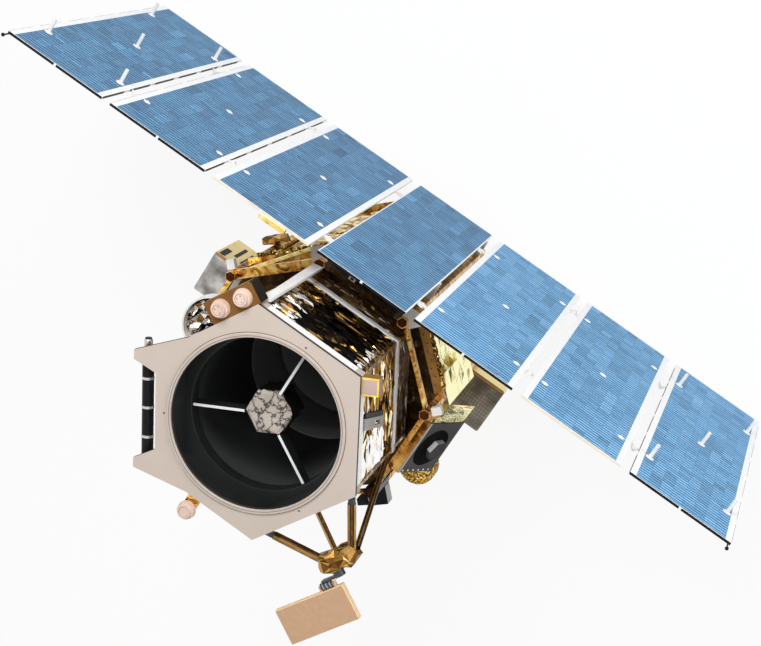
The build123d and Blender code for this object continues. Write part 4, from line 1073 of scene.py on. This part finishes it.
# On the sensor's boss, the facets that look north are lighter, one more facet is much lighter and the top is
# darker: painted light and shade by the way each facet looks.
painted_lit_facet = (Vector((0, 0.47, 0)) - slope_run * 0.88).normalized()
boss = beyond(tuple(slope_out), ((ridge + edge) / 2).dot(slope_out) + 0.0065)
sensor_paint = zoned("sensor_paint", two((0.009, 0.009, 0.009), (0.016, 0.016, 0.016)), [
    (boss, two((0.09, 0.088, 0.086), (0.13, 0.128, 0.126))),
    (both(boss, faces(north, 0.8)), two((0.26, 0.255, 0.25), (0.34, 0.335, 0.33))),
    (both(boss, faces(tuple(painted_lit_facet), 0.85)), two((0.62, 0.62, 0.62), (0.72, 0.72, 0.72))),
    (both(boss, faces(tuple(slope_out), 0.9)), two((0.080, 0.075, 0.070), (0.110, 0.104, 0.098)))],
    0.5, specular=0.0)
print("screws, beads and rivets are on the deck")

# %% [markdown]
# The star tracker gets a lip and an end cover, the sun sensor its windows, and the radiators their slots,
# edges and grid. Film covers the bar on a panel's edge and a beam beside it, and bands go round the tilt
# drive.

# %% Details of the equipment
tracker_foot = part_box("star_tracker")[0][2]
tracker_side = -46.5
tracker_outward, tracker_along = side_axes(tracker_side)
tracker_middle, tracker_half = 0.3685, 0.0825
tracker_out = right_distance + 0.0489 + tracker_half
lip_centre, end_centre = (place_on(tracker_side, tracker_middle + way * tracker_half, tracker_out,
                                   tracker_foot + 0.0665) for way in (-1, 1))
lip_bars = [((x0, y0, -0.004), (x1, y1, 0.010)) for x0, y0, x1, y1 in (
    (-0.084, 0.056, 0.084, 0.069), (-0.084, -0.069, 0.084, -0.056),
    (-0.084, -0.069, -0.072, 0.069), (0.072, -0.069, 0.084, 0.069))]
box_piece("tracker_lip", lip_bars, pale_grey,
          turn=turned(lip_centre, -tracker_along, tracker_outward), soften=0.002)
box_piece("tracker_end", [((-0.080, -0.064, -0.001), (0.080, 0.064, 0.004))], pale_grey,
          turn=turned(end_centre, tracker_along, tracker_outward), soften=0.002)

low, high = (Vector(corner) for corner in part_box("sun_sensor"))
box_piece("sun_sensor_glass", [
    ((low.x + 0.016, low.y + 0.007, high.z - 0.002), (high.x - 0.016, high.y - 0.005, high.z + 0.003)),
    ((low.x + 0.014, high.y - 0.002, low.z + 0.014), (high.x - 0.014, high.y + 0.003, high.z - 0.014))],
    satin_black)

left_low, left_high = (Vector(corner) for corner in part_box("radiator_box_left"))
low, high = (Vector(corner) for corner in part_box("radiator_box_right"))
slots = [(0.03, 0.085, 0.02, 0.20), (0.13, 0.165, 0.16, 0.30), (0.22, 0.24, 0.10, 0.34),
         (0.30, 0.33, 0.05, 0.26)]
box_piece("radiator_slots", [
    ((left_low.x + start, left_high.y - 0.002, left_high.z - top - drop),
     (left_low.x + end, left_high.y + 0.003, left_high.z - top)) for start, end, top, drop in slots],
    satin_black)
box_piece("radiator_edges", [
    ((left_low.x + 0.01, left_high.y - 0.030, left_high.z - 0.001),
     (left_high.x - 0.02, left_high.y - 0.002, left_high.z + 0.004)),
    ((low.x + 0.02, high.y - 0.030, high.z - 0.001), (high.x - 0.01, high.y - 0.002, high.z + 0.004))],
    tan_strip)
grid_count, line_half = 14, 0.0015
foot, head = high.z - 0.001, high.z + 0.001
grid_lines = []
for k in range(1, grid_count):
    x, y, _ = low + (high - low) * (k / grid_count)
    grid_lines += [((x - line_half, low.y + 0.012, foot), (x + line_half, high.y - 0.034, head)),
                   ((low.x + 0.012, y - line_half, foot), (high.x - 0.012, y + line_half, head))]
box_piece("radiator_grid", grid_lines, dark_grey, soften=0.0)

bar_low, bar_high = (Vector(corner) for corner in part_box("panel_3"))
bar_right = bar_high.x - 0.222
box_piece("edge_bar_film", [((bar_right - 0.2515, bar_low.y - 0.0475, bar_high.z - 0.0475),
                             (bar_right + 0.0015, bar_low.y - 0.0005, bar_high.z + 0.0015))],
          bright_film, "wing_left_inner", soften=0.004)

beam_start, beam_end = Vector((-0.905, 0.560, 3.060)), Vector((-0.545, 1.040, 3.070))
beam_run = beam_end - beam_start
beam_half = beam_run.length / 2
box_piece("side_beam", [((-beam_half, -0.016, -0.016), (beam_half, 0.016, 0.016))], bright_film,
          turn=turned((beam_start + beam_end) / 2, (-beam_run.y, beam_run.x, 0), beam_run), soften=0.004)

link_out, link_run = side_axes(antenna_side)
roll_end = hex_apothem + 0.515
tilt_centre = roll_end + 0.0883
bm = bmesh.new()
for along, width in ((-0.032, 0.010), (0.0, 0.012), (0.032, 0.010)):
    spot = place_on(antenna_side, along - 0.150, tilt_centre, apex_height)
    add_ring(bm, spot, link_run, 0.028, 0.0325, width)
finish_piece(bm, "tilt_bands", pale_grey, "gimbal")
link_centre = place_on(antenna_side, -0.068, roll_end + 0.0583, apex_height + 0.012)
box_piece("link_block", [((-0.020, -0.016, -0.012), (0.020, 0.016, 0.014))], white_paint,
          "gimbal", turned(link_centre, link_out, link_run), 0.003)
print("equipment dressed")

# %% [markdown]
# ## Solids that keep their shape
# The other nodes are already right, so each only gets its finish.

# %% Finishes of the nodes
node_finish = {
    "launch_ring": silver_metal, "aft_deck": bracket_film, "bus_frame": frame_film, "top_deck": deck_film,
    "barrel": black_paint, "baffle_ring": flange_paint, "telescope_tube": tube_paint,
    "primary_mirror": mirror_glass, "mirror_baffle": flange_paint, "spider": vane_paint,
    "front_plate": plate_paint, "aperture_lip": lip_paint, "front_frame": bar_paint,
    "mid_frame": bar_paint, "corner_beams": corner_film, "corner_channel": bar_paint,
    "torque_rod": satin_black, "rod_clamps": silver_metal, "horn_box": horn_box_paint, "horns": horn_peach,
    "lower_horn_bracket": bracket_film, "lower_horn": horn_peach, "patch_antenna": patch_paint,
    "side_drum": white_paint, "wedge_housing": gun_metal, "hex_sensor": sensor_paint,
    "rim_boxes": white_paint, "radiator_box_right": grid_film, "radiator_box_left": radiator_film,
    "star_tracker": satin_black, "strut_fittings": dark_grey,
    "roll_drive": dark_grey, "gimbal_link": dark_grey, "antenna_plate": dish_tan,
    "array_standoffs": standoff_paint, "sun_sensor": white_paint,
    "panel_1_stub": satin_black, "panel_7_stub": satin_black,
}
for number in wing_bodies:
    node_finish[f"panel_{number}_fittings"] = white_paint
for name, finish in node_finish.items():
    nodes[name].data.materials.clear()
    nodes[name].data.materials.append(finish)
print("finishes", len(node_finish))
